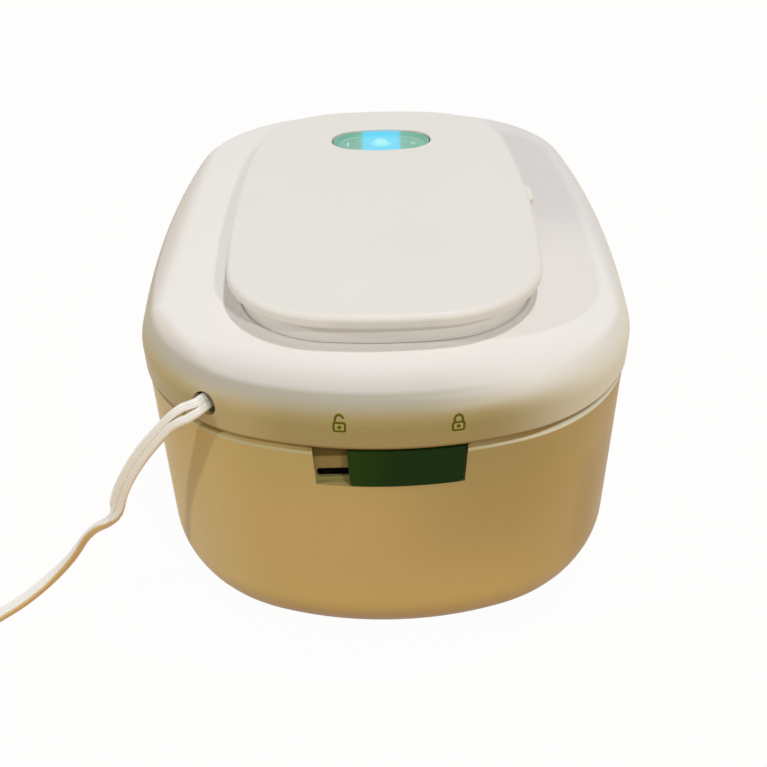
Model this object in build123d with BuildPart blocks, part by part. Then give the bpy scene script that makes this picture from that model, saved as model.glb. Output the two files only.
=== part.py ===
from build123d import *
from math import atan2, cos, radians, sin, sqrt, tan
import os

# Baby wipe warmer, in millimetres. +X is the user's front (the lid's thumb tab), the lid hinges on
# the -X side, the lock slider is on the -Y end, +Z is up and z = 0 is the table under the feet.
# The heated top unit (cover_shell, pan, heater, electronics) lifts off the tub for refilling.
# The tub carries the liner, the feet and the slide lock.

# ---------------------------------------------------------------- driving dimensions
# Plan outline of the whole appliance
width = 170.0
length = 252.0
corner_radius = 60.5
side_bow = 3.2
end_bow = 3.5
wall = 2.5
running_gap = 0.3

# Tub
foot_height = 1.5
seam_height = 90.0
seam_gap = 0.6
tub_inset = 0.7
tub_taper = 0.35
bottom_round = 24.0
rim_chamfer = 1.3
rim_wall = 1.5
rim_depth = 3.4

# Wipe compartment liner
liner_inset = 16.0
liner_wall = 2.0
liner_taper = 1.5
liner_round = 12.0
liner_lift = 9.0
liner_flange = 2.0

# Feet and the screws under them
foot_x = 42.0
foot_y = 80.0
foot_radius = 7.0
foot_recess = 1.2
foot_boss = 5.0
liner_boss = 4.0
boss_land = 1.3
screw_shank = 1.3
screw_head = 2.6
screw_head_height = 1.5
screw_round = 0.5
hole_clearance = 0.2
pilot_radius = 1.0

# Cover of the top unit
cover_round = 8.5
dome_radius = 3000.0
dome_rise = 18.2
seat_rise = 16.5
ceiling_thickness = 2.7
edge_break = 0.6

# Pan that closes the top unit from below
pan_gap = 0.5
pan_thickness = 2.0
pan_inset = 19.0
pan_drop = 9.5
pad_radius = 4.1
pad_height = 4.5
pad_inset = 7.3
side_screw_y = 40.0
end_screw_x = 30.0
pan_screw_recess = 0.6
pan_head_height = 1.8
gasket_width = 3.0
gasket_inset = 12.5

# Dispensing opening, in the middle of the top under the lid
chute_length = 96.0
chute_width = 56.0
chute_near_margin = 22.0
chute_wall = 2.0
frame_flange = 4.0
frame_flange_height = 0.7
lip_thickness = 1.5
lip_ledge = 1.0
lip_seat = 1.2
frame_fit = 0.8
slit_width = 9.0
slit_margin = 13.0
side_slit_width = 2.4
side_slit_margin = 9.0
side_slit_pitch = 11.0
side_slit_count = 5

# Heater stack under and over the pan floor
heater_thickness = 1.2
film_thickness = 0.4
heater_inset = 23.0
film_margin = 3.0
clear_hole = 4.0
pad_thickness = 3.0
pad_margin = 2.5
cutout_radius = 6.5
cutout_height = 6.0
cutout_margin = 42.0
terminal_thickness = 0.8
terminal_width = 4.0
terminal_height = 3.0
plate_screw_side = 47.0
plate_screw_end = 48.0
plate_screw_shift = 2.0
plate_boss = 3.4

# Lid
lid_half_width = 55.0
lid_half_length = 92.0
lid_corner = 37.6
lid_side_bow = 2.7
lid_end_bow = 1.0
lid_near_margin = 28.0
lid_plate = 4.6
lid_rise = 28.3
lid_overhang = 4.0
lid_skirt_wall = 2.0
lid_gap = 0.3
lid_roof = 2.5
lid_edge_round = 2.2
lid_under_round = 1.4
tab_length = 14.0
tab_depth = 1.6
tab_root = 9.0
tab_corner = 3.5
tab_lift = 0.8
tab_thickness = 3.0
inner_panel = 2.0
lid_boss = 3.0
lid_head = 1.9
lid_head_height = 1.2
lid_shank = 0.9
seal_rib = 1.0
seal_rib_height = 1.2
lid_screw_side = 19.0
lid_screw_end = 30.0
middle_screw_side = 15.0
middle_screw_shift = 8.0
inner_lift = 3.2
seal_width = 2.6

# Hinge, under the overhang on the -X side
hinge_inset = 3.0
hinge_rise = 22.0
hinge_spacing = 56.0
ear_radius = 2.0
ear_length = 4.0
pin_radius = 0.9
pin_clearance = 0.06

# Control window
window_half_x = 21.0
window_half_y = 12.6
window_corner = 10.5
window_bow_x = 1.2
window_bow_y = 1.6
window_far_margin = 23.4
window_gap = 0.6
window_wall = 1.5
window_round = 0.9
boss_rise = 24.9
boss_wall = 1.3
lens_plug = 1.0
plug_clearance = 0.1
lens_height = 2.4
lens_rim = 0.7
lens_dish = 1.1
lens_slope = 45.0
light_width = 15.6
light_gap = 2.8
light_corner = 1.0
touch_spacing = 27.0
touch_pad = 5.0
board_ledge = 2.0
board_drop = 4.6
board_thickness = 1.6

# Power board, between the chute and the near wall of the pan
board_width = 50.0
board_depth = 15.0
board_post_x = 21.0
board_post = 2.6
board_lift = 1.5
part_height = 10.0

# Lid catch: a magnet in the lid and a steel plate in the cover
magnet_radius = 4.0
magnet_height = 2.0
magnet_inset = 13.0
magnet_cup = 1.4
plate_thickness = 1.0
plate_grow = 0.5

# Slide lock on the -Y end
pocket_play = 0.5
stop_gap = 0.1
pocket_height = 14.5
pocket_depth = 3.6
pocket_wall = 1.2
side_draft = 2.8
slider_left = -11.9
slider_width = 34.3
slider_proud = 0.5
slider_round = 1.2
lock_travel = 10.2
slot_drop = 13.0
slot_height = 3.5
slot_margin = 0.4
slot_corner = 1.0
stem_inset = 5.0
stem_width = 14.0
stem_height = 2.9
carriage_thickness = 3.0
carriage_width = 26.0
carriage_height = 9.0
carriage_inset = 1.5
carriage_round = 0.8
tongue_reach = 8.0
tongue_height = 3.0
tongue_thickness = 2.2
tongue_inset = 0.4
keeper_width = 10.0
keeper_margin = 1.6
keeper_gap = 0.4
keeper_room = 1.0
guide_thickness = 2.0
guide_land = 3.5
guide_drop = 5.5
guide_margin = 4.0
guide_inset = 6.2
guide_rail = 1.2
guide_head = 2.1
guide_head_height = 1.3
guide_screw_reach = 3.5

# Mains lead: flat twin cord, drawn here as a plain round tube
cord_diameter = 5.4
hole_half_width = 4.4
hole_half_height = 3.7
hole_x = -54.9
hole_rise = 8.2
lead_length = 16.0
clamp_width = 13.0
clamp_depth = 6.0
clamp_cap = 2.0
coil_radius = 31.5
coil_layers = 2
coil_turns_across = 3
coil_run_in = 12.0
coil_exit_turn = 160.0
tail_start = 12.0
tail_end = 26.0
plug_length = 28.0
plug_width = 25.0
plug_thickness = 15.4
plug_relief = 14.0
blade_length = 17.5
blade_width = 6.4
blade_thickness = 1.5
blade_spacing = 12.7

# The free lead's route from the cover to its coil, chosen point by point
cord_route = [
    (-58.3, -113.1, 97.5),
    (-64.0, -113.4, 94.2),
    (-69.4, -112.6, 88.0),
    (-76.2, -110.4, 79.2),
    (-83.2, -106.8, 67.9),
    (-89.9, -102.8, 54.8),
    (-94.0, -99.0, 41.0),
    (-105.6, -95.2, 32.2),
    (-113.6, -96.0, 20.4),
    (-122.8, -97.7, 11.4),
    (-132.9, -103.8, 5.8),
    (-143.6, -111.7, 4.2),
    (-155.2, -119.6, 2.75),
    (-167.6, -127.3, 2.75),
]

# ---------------------------------------------------------------- places along and across the top
lid_y = lid_near_margin + lid_half_length - length / 2
chute_y = lid_y - lid_half_length + chute_near_margin + chute_length / 2
window_y = lid_y + lid_half_length - window_far_margin - window_half_y
hinge_x = hinge_inset - lid_half_width
magnet_x = lid_half_width - magnet_inset

# ---------------------------------------------------------------- heights worked out from these
tub_bottom = foot_height
tub_top = seam_height - seam_gap
flange_seat = tub_top - rim_depth
flange_top = flange_seat + liner_flange
pan_flange_bottom = seam_height + pan_gap
pan_flange_top = pan_flange_bottom + pan_thickness
pan_floor = pan_flange_bottom - pan_drop
seat_z = seam_height + seat_rise
ceiling_z = seat_z - ceiling_thickness
lid_top_z = seam_height + lid_rise
plate_z = lid_top_z - lid_plate
skirt_z = seat_z + lid_gap
inner_z = skirt_z + inner_lift
magnet_z = skirt_z + lid_gap
hinge_z = seam_height + hinge_rise
boss_z = seam_height + boss_rise
lens_z = boss_z - lens_plug
lens_top = boss_z + lens_height
control_z = lens_z - board_drop
heater_z = pan_floor - film_thickness - heater_thickness
foot_recess_z = tub_bottom + foot_recess
screw_land_z = foot_recess_z + screw_head_height


# ---------------------------------------------------------------- outlines and forms
def bowed_shape(half_x, half_y, corner, bow_x, bow_y, inset=0.0):
    """A rectangle with bowed sides and round corners, shrunk all round by inset."""
    x = half_x - corner - bow_x
    y = half_y - corner - bow_y
    with BuildSketch() as shape:
        with BuildLine():
            ThreePointArc((x, -y), (x + bow_x, 0), (x, y))
            ThreePointArc((x, y), (0, y + bow_y), (-x, y))
            ThreePointArc((-x, y), (-x - bow_x, 0), (-x, -y))
            ThreePointArc((-x, -y), (0, -y - bow_y), (x, -y))
        make_face()
        offset(amount=corner - inset, kind=Kind.ARC)
    return shape.sketch


def plan(inset=0.0):
    """The appliance's outline."""
    return bowed_shape(width / 2, length / 2, corner_radius, side_bow, end_bow, inset)


def lid_plan(inset=0.0):
    """The lid's outline, at its place on the cover."""
    shape = bowed_shape(lid_half_width, lid_half_length, lid_corner, lid_side_bow, lid_end_bow, inset)
    return shape.moved(Location((0, lid_y, 0)))


def window_plan(inset=0.0):
    """The control window's outline, at its place in the lid."""
    shape = bowed_shape(window_half_x, window_half_y, window_corner, window_bow_x, window_bow_y, inset)
    return shape.moved(Location((0, window_y, 0)))


def chute_plan(grow=0.0):
    """The dispensing opening, a slot along the length, grown all round."""
    with BuildSketch() as shape:
        with Locations((0, chute_y)):
            SlotOverall(chute_length + 2 * grow, chute_width + 2 * grow, rotation=90)
    return shape.sketch


def prism(shape, bottom, top):
    """A straight prism of a flat outline between two heights."""
    with BuildPart() as form:
        with BuildSketch(Plane.XY.offset(bottom)):
            add(shape)
        extrude(amount=top - bottom)
    return form.part


def tub_form(inset, bottom, top, bottom_fillet, taper):
    """The plan outline narrowed towards a rounded bottom."""
    with BuildPart() as form:
        with BuildSketch(Plane.XY.offset(top)):
            add(plan(inset))
        extrude(amount=bottom - top, taper=taper)
        fillet(form.faces().sort_by(Axis.Z)[0].edges(), bottom_fillet)
    return form.part


def box_between(low, high):
    """A box given by its lowest and highest corners."""
    with BuildPart() as form:
        with Locations(((low[0] + high[0]) / 2, (low[1] + high[1]) / 2, (low[2] + high[2]) / 2)):
            Box(high[0] - low[0], high[1] - low[1], high[2] - low[2])
    return form.part


def posts(spots, radius, bottom, top):
    """Upright round posts between two heights."""
    with BuildPart() as form:
        with BuildSketch(Plane.XY.offset(bottom)):
            with Locations(*spots):
                Circle(radius)
        extrude(amount=top - bottom)
    return form.part


def finish_part(builder, name):
    """Labels a finished piece and writes it as a STEP file."""
    builder.part.label = name
    export_step(builder.part, f"parts/{name}.step")


def wall_y(x, inset):
    """Y of the near end's outline at x, shrunk by inset: the end's arc, then the corner's."""
    half = width / 2 - corner_radius - side_bow
    edge = length / 2 - corner_radius - end_bow
    end_radius = (half**2 + end_bow**2) / (2 * end_bow)
    if abs(x) <= half * (end_radius + corner_radius - inset) / end_radius:
        centre = -(edge + end_bow) + end_radius
        return centre - sqrt((end_radius + corner_radius - inset) ** 2 - x**2)
    return -edge - sqrt((corner_radius - inset) ** 2 - (abs(x) - half) ** 2)


def wall_x(y, inset):
    """X of the +X side's outline at y, shrunk by inset, along its bowed stretch."""
    half = length / 2 - corner_radius - end_bow
    edge = width / 2 - corner_radius - side_bow
    side_radius = (half**2 + side_bow**2) / (2 * side_bow)
    centre = edge + side_bow - side_radius
    return centre + sqrt((side_radius + corner_radius - inset) ** 2 - y**2)


def screws(spots, head_z, tip_z, head_radius, shank_radius, head_height):
    """Pan-head screws driven upwards: a head below, the shank above it."""
    with BuildPart() as form:
        add(posts(spots, head_radius, head_z, head_z + head_height))
        fillet(form.edges().filter_by(GeomType.CIRCLE).group_by(Axis.Z)[0], head_height * 0.4)
        add(posts(spots, shank_radius, head_z + head_height, tip_z))
    return form


def drafted_block(left, right, bottom, top, back):
    """A block across the near end, in front of back, whose sides lean out upwards as they leave the mould."""
    low = (bottom - slot_middle) * tan(radians(side_draft))
    high = (top - slot_middle) * tan(radians(side_draft))
    with BuildPart() as form:
        with BuildSketch(Plane.XZ.offset(-back)):
            with BuildLine():
                Polyline(
                    (left - low, bottom),
                    (right + low, bottom),
                    (right + high, top),
                    (left - high, top),
                    close=True,
                )
            make_face()
        extrude(amount=length)
    return form.part


os.makedirs("parts", exist_ok=True)

foot_spots = [(sx * foot_x, sy * foot_y) for sx in (-1, 1) for sy in (-1, 1)]

# ---------------------------------------------------------------- lock geometry along the near end
slider_right = slider_left + slider_width
pocket_left = slider_left - lock_travel - stop_gap
pocket_right = slider_right + pocket_play
pocket_z = tub_top - pocket_height + seam_gap
pocket_floor_y = wall_y(0, tub_inset) + pocket_depth
pocket_back_y = pocket_floor_y + pocket_wall
slot_top = seam_height - slot_drop + slot_height
slot_middle = slot_top - slot_height / 2
slider_z = pocket_z + running_gap
slider_top = tub_top - 0.1
stem_left = slider_left + stem_inset
slot_left = pocket_left + slot_margin
slot_right = stem_left + stem_width + slot_corner + running_gap
carriage_left = slider_left + carriage_inset
carriage_right = carriage_left + carriage_width
carriage_front = pocket_back_y + running_gap
carriage_back = carriage_front + carriage_thickness
carriage_z = slot_middle - carriage_height / 2
guide_front = carriage_back + running_gap
guide_back = guide_front + guide_thickness
tongue_front = carriage_front + tongue_inset
keeper_left = carriage_right + keeper_margin
keeper_right = keeper_left + keeper_width
keeper_front = wall_y(keeper_right, tub_inset + wall) + running_gap
keeper_back = keeper_front + carriage_thickness
guide_screw_z = carriage_z - guide_drop
rail_z = carriage_z + carriage_height + running_gap
guide_spots = (carriage_left - lock_travel + guide_margin, carriage_right - guide_inset)
block_left = pocket_left - pocket_wall
block_right = pocket_right + pocket_wall

# ---------------------------------------------------------------- tub
tub_outer = tub_form(tub_inset, tub_bottom, tub_top, bottom_round, tub_taper)
tub_cavity = tub_form(tub_inset + wall, tub_bottom + wall, tub_top, bottom_round - wall, tub_taper)
lock_block = box_between((block_left, -length, pocket_z - wall), (block_right, pocket_back_y, tub_top))
boss_block = box_between(
    (guide_spots[0] - guide_land, -length, guide_screw_z - guide_land),
    (guide_spots[1] + guide_land, guide_front, carriage_z - 3 * running_gap),
)

with BuildPart() as tub_shell:
    add(tub_outer)
    top_rim = tub_shell.faces().sort_by(Axis.Z)[-1].edges()
    chamfer(top_rim, rim_chamfer)
    add(tub_cavity, mode=Mode.SUBTRACT)
    add(prism(plan(tub_inset + rim_wall), flange_seat, tub_top + 1), mode=Mode.SUBTRACT)
    # the lock's housing and the land its guide screws into, inside the near end
    add(lock_block & tub_outer)
    add(boss_block & tub_outer)
    pocket = drafted_block(pocket_left, pocket_right, pocket_z, seam_height + 1, pocket_floor_y)
    add(pocket, mode=Mode.SUBTRACT)
    with BuildSketch(Plane.XZ.offset(-pocket_back_y)):
        with Locations(((slot_left + slot_right) / 2, slot_middle)):
            RectangleRounded(slot_right - slot_left, slot_height, slot_corner)
    extrude(amount=pocket_wall + 1, mode=Mode.SUBTRACT)
    # lands for the liner screws, with the foot recesses and counterbores below
    add(posts(foot_spots, foot_boss, tub_bottom + wall / 2, screw_land_z + boss_land))
    add(posts(foot_spots, foot_radius + hole_clearance, tub_bottom - 1, foot_recess_z), mode=Mode.SUBTRACT)
    add(posts(foot_spots, screw_head + hole_clearance, tub_bottom, screw_land_z), mode=Mode.SUBTRACT)
    shank_hole = screw_shank + hole_clearance
    add(posts(foot_spots, shank_hole, tub_bottom, screw_land_z + 2 * boss_land), mode=Mode.SUBTRACT)
    # pilot holes for the guide screws
    with BuildSketch(Plane.XZ.offset(-guide_front)):
        with Locations(*[(x, guide_screw_z) for x in guide_spots]):
            Circle(pilot_radius)
    extrude(amount=guide_screw_reach + hole_clearance, mode=Mode.SUBTRACT)
finish_part(tub_shell, "tub_shell")

# ---------------------------------------------------------------- liner (the wipe compartment)
liner_outer = tub_form(liner_inset, liner_lift, flange_seat, liner_round, liner_taper)
liner_cavity = tub_form(
    liner_inset + liner_wall, liner_lift + liner_wall, flange_seat, liner_round - liner_wall, liner_taper
)

with BuildPart() as tub_liner:
    add(liner_outer)
    add(prism(plan(tub_inset + rim_wall + running_gap), flange_seat, flange_top))
    add(liner_cavity, mode=Mode.SUBTRACT)
    add(prism(plan(liner_inset + liner_wall), flange_seat - 0.01, flange_top + 1), mode=Mode.SUBTRACT)
    # room for the lock's housing and for the cover's keeper
    add(
        box_between(
            (block_left - running_gap, -length, flange_seat - 1),
            (block_right + running_gap, pocket_back_y + running_gap, flange_top + 1),
        ),
        mode=Mode.SUBTRACT,
    )
    add(
        box_between(
            (keeper_left - keeper_room, -length, flange_seat - 1),
            (keeper_right + keeper_room, keeper_back + keeper_room, flange_top + 1),
        ),
        mode=Mode.SUBTRACT,
    )
    # screw bosses under the floor
    add(posts(foot_spots, liner_boss, screw_land_z + boss_land, liner_lift + liner_wall / 4))
    add(posts(foot_spots, screw_shank, screw_land_z, liner_lift + liner_wall * 0.4), mode=Mode.SUBTRACT)
finish_part(tub_liner, "tub_liner")

# ---------------------------------------------------------------- liner screws and feet
tub_screws = screws(
    foot_spots, foot_recess_z, liner_lift + liner_wall * 0.3, screw_head, screw_shank, screw_head_height
)
finish_part(tub_screws, "tub_screws")

with BuildPart() as feet:
    add(posts(foot_spots, foot_radius, 0, foot_recess_z))
    fillet(feet.edges().filter_by(GeomType.CIRCLE).group_by(Axis.Z)[0], edge_break)
finish_part(feet, "feet")

# ---------------------------------------------------------------- slide lock
slider_blank = prism(plan(tub_inset - slider_proud), slider_z, slider_top)
slider_box = drafted_block(slider_left, slider_right, slider_z, slider_top, pocket_floor_y - running_gap)

with BuildPart() as lock_slider:
    add(slider_box & slider_blank)
    outer_edges = lock_slider.edges().filter_by(Axis.Y)
    fillet(outer_edges, slider_round)
    fillet(lock_slider.faces().sort_by(Axis.Y)[0].edges(), slider_round * 0.5)
    # the stem that reaches through the slot into the carriage
    add(
        box_between(
            (stem_left, pocket_floor_y - running_gap, slot_middle - stem_height / 2),
            (stem_left + stem_width, carriage_back - tongue_inset, slot_middle + stem_height / 2),
        )
    )
finish_part(lock_slider, "lock_slider")

with BuildPart() as lock_carriage:
    add(
        box_between(
            (carriage_left, carriage_front, carriage_z),
            (carriage_right, carriage_back, carriage_z + carriage_height),
        )
    )
    fillet(lock_carriage.edges().filter_by(Axis.Y), carriage_round)
    add(
        box_between(
            (carriage_right - 1, tongue_front, slot_middle - tongue_height / 2),
            (carriage_right + tongue_reach, tongue_front + tongue_thickness, slot_middle + tongue_height / 2),
        )
    )
    chamfer(lock_carriage.faces().sort_by(Axis.X)[-1].edges().filter_by(Axis.Z), edge_break)
    add(
        box_between(
            (stem_left, carriage_front - 1, slot_middle - stem_height / 2),
            (stem_left + stem_width, carriage_back - tongue_inset, slot_middle + stem_height / 2),
        ),
        mode=Mode.SUBTRACT,
    )
finish_part(lock_carriage, "lock_carriage")

with BuildPart() as lock_guide:
    add(
        box_between(
            (guide_spots[0] - guide_land, guide_front, guide_screw_z - guide_land),
            (guide_spots[1] + guide_land, guide_back, carriage_z + carriage_height),
        )
    )
    fillet(lock_guide.edges().filter_by(Axis.Y), guide_land * 0.4)
    # a rail over the carriage, reaching forward to the housing, on a short upstand
    add(
        box_between(
            (guide_spots[0], pocket_back_y + running_gap, rail_z),
            (guide_spots[1], guide_back, rail_z + guide_rail),
        )
    )
    add(
        box_between(
            (guide_spots[0], guide_front, carriage_z + carriage_height - guide_rail),
            (guide_spots[1], guide_back, rail_z + guide_rail),
        )
    )
    with BuildSketch(Plane.XZ.offset(-guide_back)):
        with Locations(*[(x, guide_screw_z) for x in guide_spots]):
            Circle(pilot_radius + hole_clearance)
    extrude(amount=guide_thickness, mode=Mode.SUBTRACT)
finish_part(lock_guide, "lock_guide")

with BuildPart() as guide_screws:
    with BuildSketch(Plane.XZ.offset(-guide_back - guide_head_height)):
        with Locations(*[(x, guide_screw_z) for x in guide_spots]):
            Circle(guide_head)
    extrude(amount=guide_head_height)
    fillet(guide_screws.edges().filter_by(GeomType.CIRCLE).group_by(Axis.Y)[-1], screw_round)
    with BuildSketch(Plane.XZ.offset(-guide_back)):
        with Locations(*[(x, guide_screw_z) for x in guide_spots]):
            Circle(pilot_radius)
    extrude(amount=guide_thickness + guide_screw_reach)
finish_part(guide_screws, "guide_screws")

# ---------------------------------------------------------------- where the lead leaves the cover
corner_x = -(width / 2 - corner_radius - side_bow)
corner_y = -(length / 2 - corner_radius - end_bow)
hole_turn = atan2(-sqrt(corner_radius**2 - (hole_x - corner_x) ** 2), hole_x - corner_x)
hole_normal = Vector(cos(hole_turn), sin(hole_turn), 0)
hole_z = seam_height + hole_rise
hole_point = Vector(corner_x, corner_y, hole_z) + hole_normal * corner_radius
hole_plane = Plane(origin=hole_point, x_dir=(-sin(hole_turn), cos(hole_turn), 0), z_dir=hole_normal)

# ---------------------------------------------------------------- cover shell
side_screw_x = wall_x(side_screw_y, pad_inset)
end_screw_y = -wall_y(end_screw_x, pad_inset)
pan_screw_spots = [(sx * side_screw_x, sy * side_screw_y) for sx in (-1, 1) for sy in (-1, 1)]
pan_screw_spots += [(sx * end_screw_x, sy * end_screw_y) for sx in (-1, 1) for sy in (-1, 1)]
pad_top = pan_flange_bottom + pad_height
pan_screw_z = pan_flange_bottom + pan_screw_recess
hinge_spots = [lid_y - hinge_spacing / 2, lid_y + hinge_spacing / 2]
ear_pitch = ear_length + running_gap

# a very large ball, lying with its poles to the sides, gives the top its slight crown
with BuildPart() as cover_outer:
    add(prism(plan(), seam_height, seam_height + dome_rise + 1))
    with Locations((0, 0, seam_height + dome_rise - dome_radius)):
        Sphere(dome_radius, rotation=(90, 0, 0), mode=Mode.INTERSECT)
    fillet(cover_outer.faces().sort_by(Axis.Z)[-1].edges(), cover_round)
    chamfer(cover_outer.faces().sort_by(Axis.Z)[0].edges(), edge_break)

with BuildPart() as cover_cavity:
    add(prism(plan(wall), seam_height - 1, ceiling_z))
    fillet(cover_cavity.faces().sort_by(Axis.Z)[-1].edges(), cover_round - wall)


def hinge_ears(shifts):
    """Round ears on the hinge axis, each with a neck down into the cover."""
    with BuildPart() as form:
        for spot in hinge_spots:
            for shift in shifts:
                with BuildSketch(Plane.XZ.offset(-(spot + shift + ear_length / 2))):
                    with Locations((hinge_x, hinge_z)):
                        Circle(ear_radius)
                    with Locations((hinge_x + 0.2, (hinge_z + seat_z) / 2 - 1)):
                        Rectangle(3.0, hinge_z - seat_z + 2)
                extrude(amount=ear_length)
    return form.part


def hinge_bores(radius):
    """The pins' bores, right through both hinges."""
    with BuildPart() as form:
        for spot in hinge_spots:
            with BuildSketch(Plane.XZ.offset(-(spot + 1.5 * ear_pitch + 1))):
                with Locations((hinge_x, hinge_z)):
                    Circle(radius)
            extrude(amount=3 * ear_pitch + 2)
    return form.part


with BuildPart() as cover_shell:
    add(cover_outer.part)
    add(cover_cavity.part, mode=Mode.SUBTRACT)
    # flat seat for the lid, and the opening for the dispenser
    add(prism(lid_plan(lid_overhang - 0.8), seat_z, seam_height + dome_rise + 1), mode=Mode.SUBTRACT)
    frame_hole = chute_plan(chute_wall + frame_fit + hole_clearance)
    add(prism(frame_hole, ceiling_z - 1, seat_z + 1), mode=Mode.SUBTRACT)
    # the control boss that stands in the lid's window, with a ledge for the control board
    add(prism(window_plan(window_gap), ceiling_z, boss_z))
    boss_inset = window_gap + boss_wall
    add(prism(window_plan(boss_inset + board_ledge), ceiling_z - 1, control_z), mode=Mode.SUBTRACT)
    add(prism(window_plan(boss_inset), control_z, boss_z + 1), mode=Mode.SUBTRACT)
    # hinge ears, outer two of each hinge
    add(hinge_ears((-ear_pitch, ear_pitch)))
    add(hinge_bores(pin_radius + pin_clearance), mode=Mode.SUBTRACT)
    # screw bosses down to the pan's pads
    add(posts(pan_screw_spots, pad_radius - 0.3, pad_top, ceiling_z + 0.2))
    add(posts(pan_screw_spots, screw_shank, pad_top - 1, ceiling_z - 1.5), mode=Mode.SUBTRACT)
    # recess for the lid catch's steel plate
    with BuildSketch(Plane.XY.offset(seat_z - plate_thickness)):
        with Locations((magnet_x, lid_y)):
            Circle(magnet_radius + plate_grow + plug_clearance)
    extrude(amount=plate_thickness + 1, mode=Mode.SUBTRACT)
    # the lead's hole
    with BuildSketch(hole_plane.offset(2)):
        Ellipse(hole_half_width, hole_half_height)
    extrude(amount=-(wall + 4), mode=Mode.SUBTRACT)
finish_part(cover_shell, "cover_shell")

# ---------------------------------------------------------------- pan
cutout_spot = (0.0, chute_y + chute_length / 2 + cutout_margin)
keeper_top = pan_flange_bottom + 0.1
plate_screw_x = width / 2 - plate_screw_side
plate_screw_y = length / 2 - plate_screw_end
plate_screw_ys = (plate_screw_shift - plate_screw_y, plate_screw_shift + plate_screw_y)
plate_screw_spots = [(side * plate_screw_x, y) for side in (-1, 1) for y in plate_screw_ys]
insulation_z = pan_floor + pan_thickness
insulation_top = insulation_z + pad_thickness
power_board_y = (wall_y(0, pan_inset + pan_thickness) + chute_y - chute_length / 2 - chute_wall) / 2
power_board_z = insulation_top + board_lift
board_post_spots = [(side * board_post_x, power_board_y) for side in (-1, 1)]

with BuildPart() as pan_body:
    add(prism(plan(pan_inset), pan_floor, pan_flange_bottom + 0.5))
    fillet(pan_body.faces().sort_by(Axis.Z)[0].edges(), 4.0)

with BuildPart() as pan_hollow:
    add(prism(plan(pan_inset + pan_thickness), pan_floor + pan_thickness, pan_flange_top + 1))
    fillet(pan_hollow.faces().sort_by(Axis.Z)[0].edges(), 2.0)

with BuildPart() as cover_pan:
    add(pan_body.part)
    add(prism(plan(wall + running_gap), pan_flange_bottom, pan_flange_top))
    add(pan_hollow.part, mode=Mode.SUBTRACT)
    # screw pads, counterbored from below
    add(posts(pan_screw_spots, pad_radius, pan_flange_top - 0.1, pad_top))
    head_hole = screw_head + hole_clearance
    head_top = pan_screw_z + pan_head_height
    add(posts(pan_screw_spots, head_hole, pan_flange_bottom - 1, head_top), mode=Mode.SUBTRACT)
    add(posts(pan_screw_spots, shank_hole, pan_flange_bottom, pad_top + 1), mode=Mode.SUBTRACT)
    # the chute up to the dispenser
    add(prism(chute_plan(chute_wall), pan_floor, ceiling_z - 0.2))
    add(prism(chute_plan(), pan_floor - 1, ceiling_z), mode=Mode.SUBTRACT)
    # bosses for the heater plate's screws, and posts under the power board
    add(posts(plate_screw_spots, plate_boss, insulation_z - 0.1, insulation_top))
    add(posts(plate_screw_spots, screw_shank, pan_floor - 1, insulation_top - 1), mode=Mode.SUBTRACT)
    add(posts(board_post_spots, board_post, insulation_z - 0.1, power_board_z))
    # hole for the thermal cut-out
    with BuildSketch(Plane.XY.offset(pan_floor)):
        with Locations(cutout_spot):
            Circle(cutout_radius + running_gap)
    extrude(amount=pan_thickness, mode=Mode.SUBTRACT)
    # keeper for the slide lock: a hook that stands over the tongue and stops it at its end
    add(
        box_between(
            (keeper_left, keeper_front, slot_middle - tongue_height / 2),
            (keeper_right, keeper_back, keeper_top),
        )
    )
    add(
        box_between(
            (keeper_left - 1, keeper_front - 1, slot_middle - tongue_height / 2 - 1),
            (keeper_left + tongue_reach - 1, keeper_back + 1, slot_middle + tongue_height / 2 + keeper_gap),
        ),
        mode=Mode.SUBTRACT,
    )
finish_part(cover_pan, "cover_pan")

pan_screws = screws(pan_screw_spots, pan_screw_z, ceiling_z - 2, screw_head, screw_shank, pan_head_height)
finish_part(pan_screws, "pan_screws")

with BuildPart() as cover_gasket:
    add(prism(plan(gasket_inset), flange_top, pan_flange_bottom))
    add(prism(plan(gasket_inset + gasket_width), flange_top - 1, pan_flange_bottom + 1), mode=Mode.SUBTRACT)
finish_part(cover_gasket, "cover_gasket")

# ---------------------------------------------------------------- dispenser
frame_top = seat_z + frame_flange_height
ledge_z = ceiling_z + lip_seat

with BuildPart() as dispenser_frame:
    add(prism(chute_plan(chute_wall + frame_fit), ceiling_z, seat_z))
    add(prism(chute_plan(chute_wall + frame_flange), seat_z, frame_top))
    fillet(dispenser_frame.faces().sort_by(Axis.Z)[-1].edges(), frame_flange_height * 0.6)
    add(prism(chute_plan(-lip_ledge), ceiling_z - 1, frame_top + 1), mode=Mode.SUBTRACT)
    add(prism(chute_plan(lip_ledge), ledge_z, frame_top + 1), mode=Mode.SUBTRACT)
finish_part(dispenser_frame, "dispenser_frame")

with BuildPart() as dispenser_lips:
    add(prism(chute_plan(lip_ledge - 0.1), ledge_z, ledge_z + lip_thickness))
    # a long slit crossed by short ones, so that the soft lips fold back round a wipe
    with BuildSketch(Plane.XY.offset(ledge_z)):
        with Locations((0, chute_y)):
            SlotOverall(chute_length - 2 * slit_margin, slit_width, rotation=90)
            with GridLocations(0, side_slit_pitch, 1, side_slit_count):
                SlotOverall(chute_width - 2 * side_slit_margin, side_slit_width)
    extrude(amount=lip_thickness, mode=Mode.SUBTRACT)
finish_part(dispenser_lips, "dispenser_lips")

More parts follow.
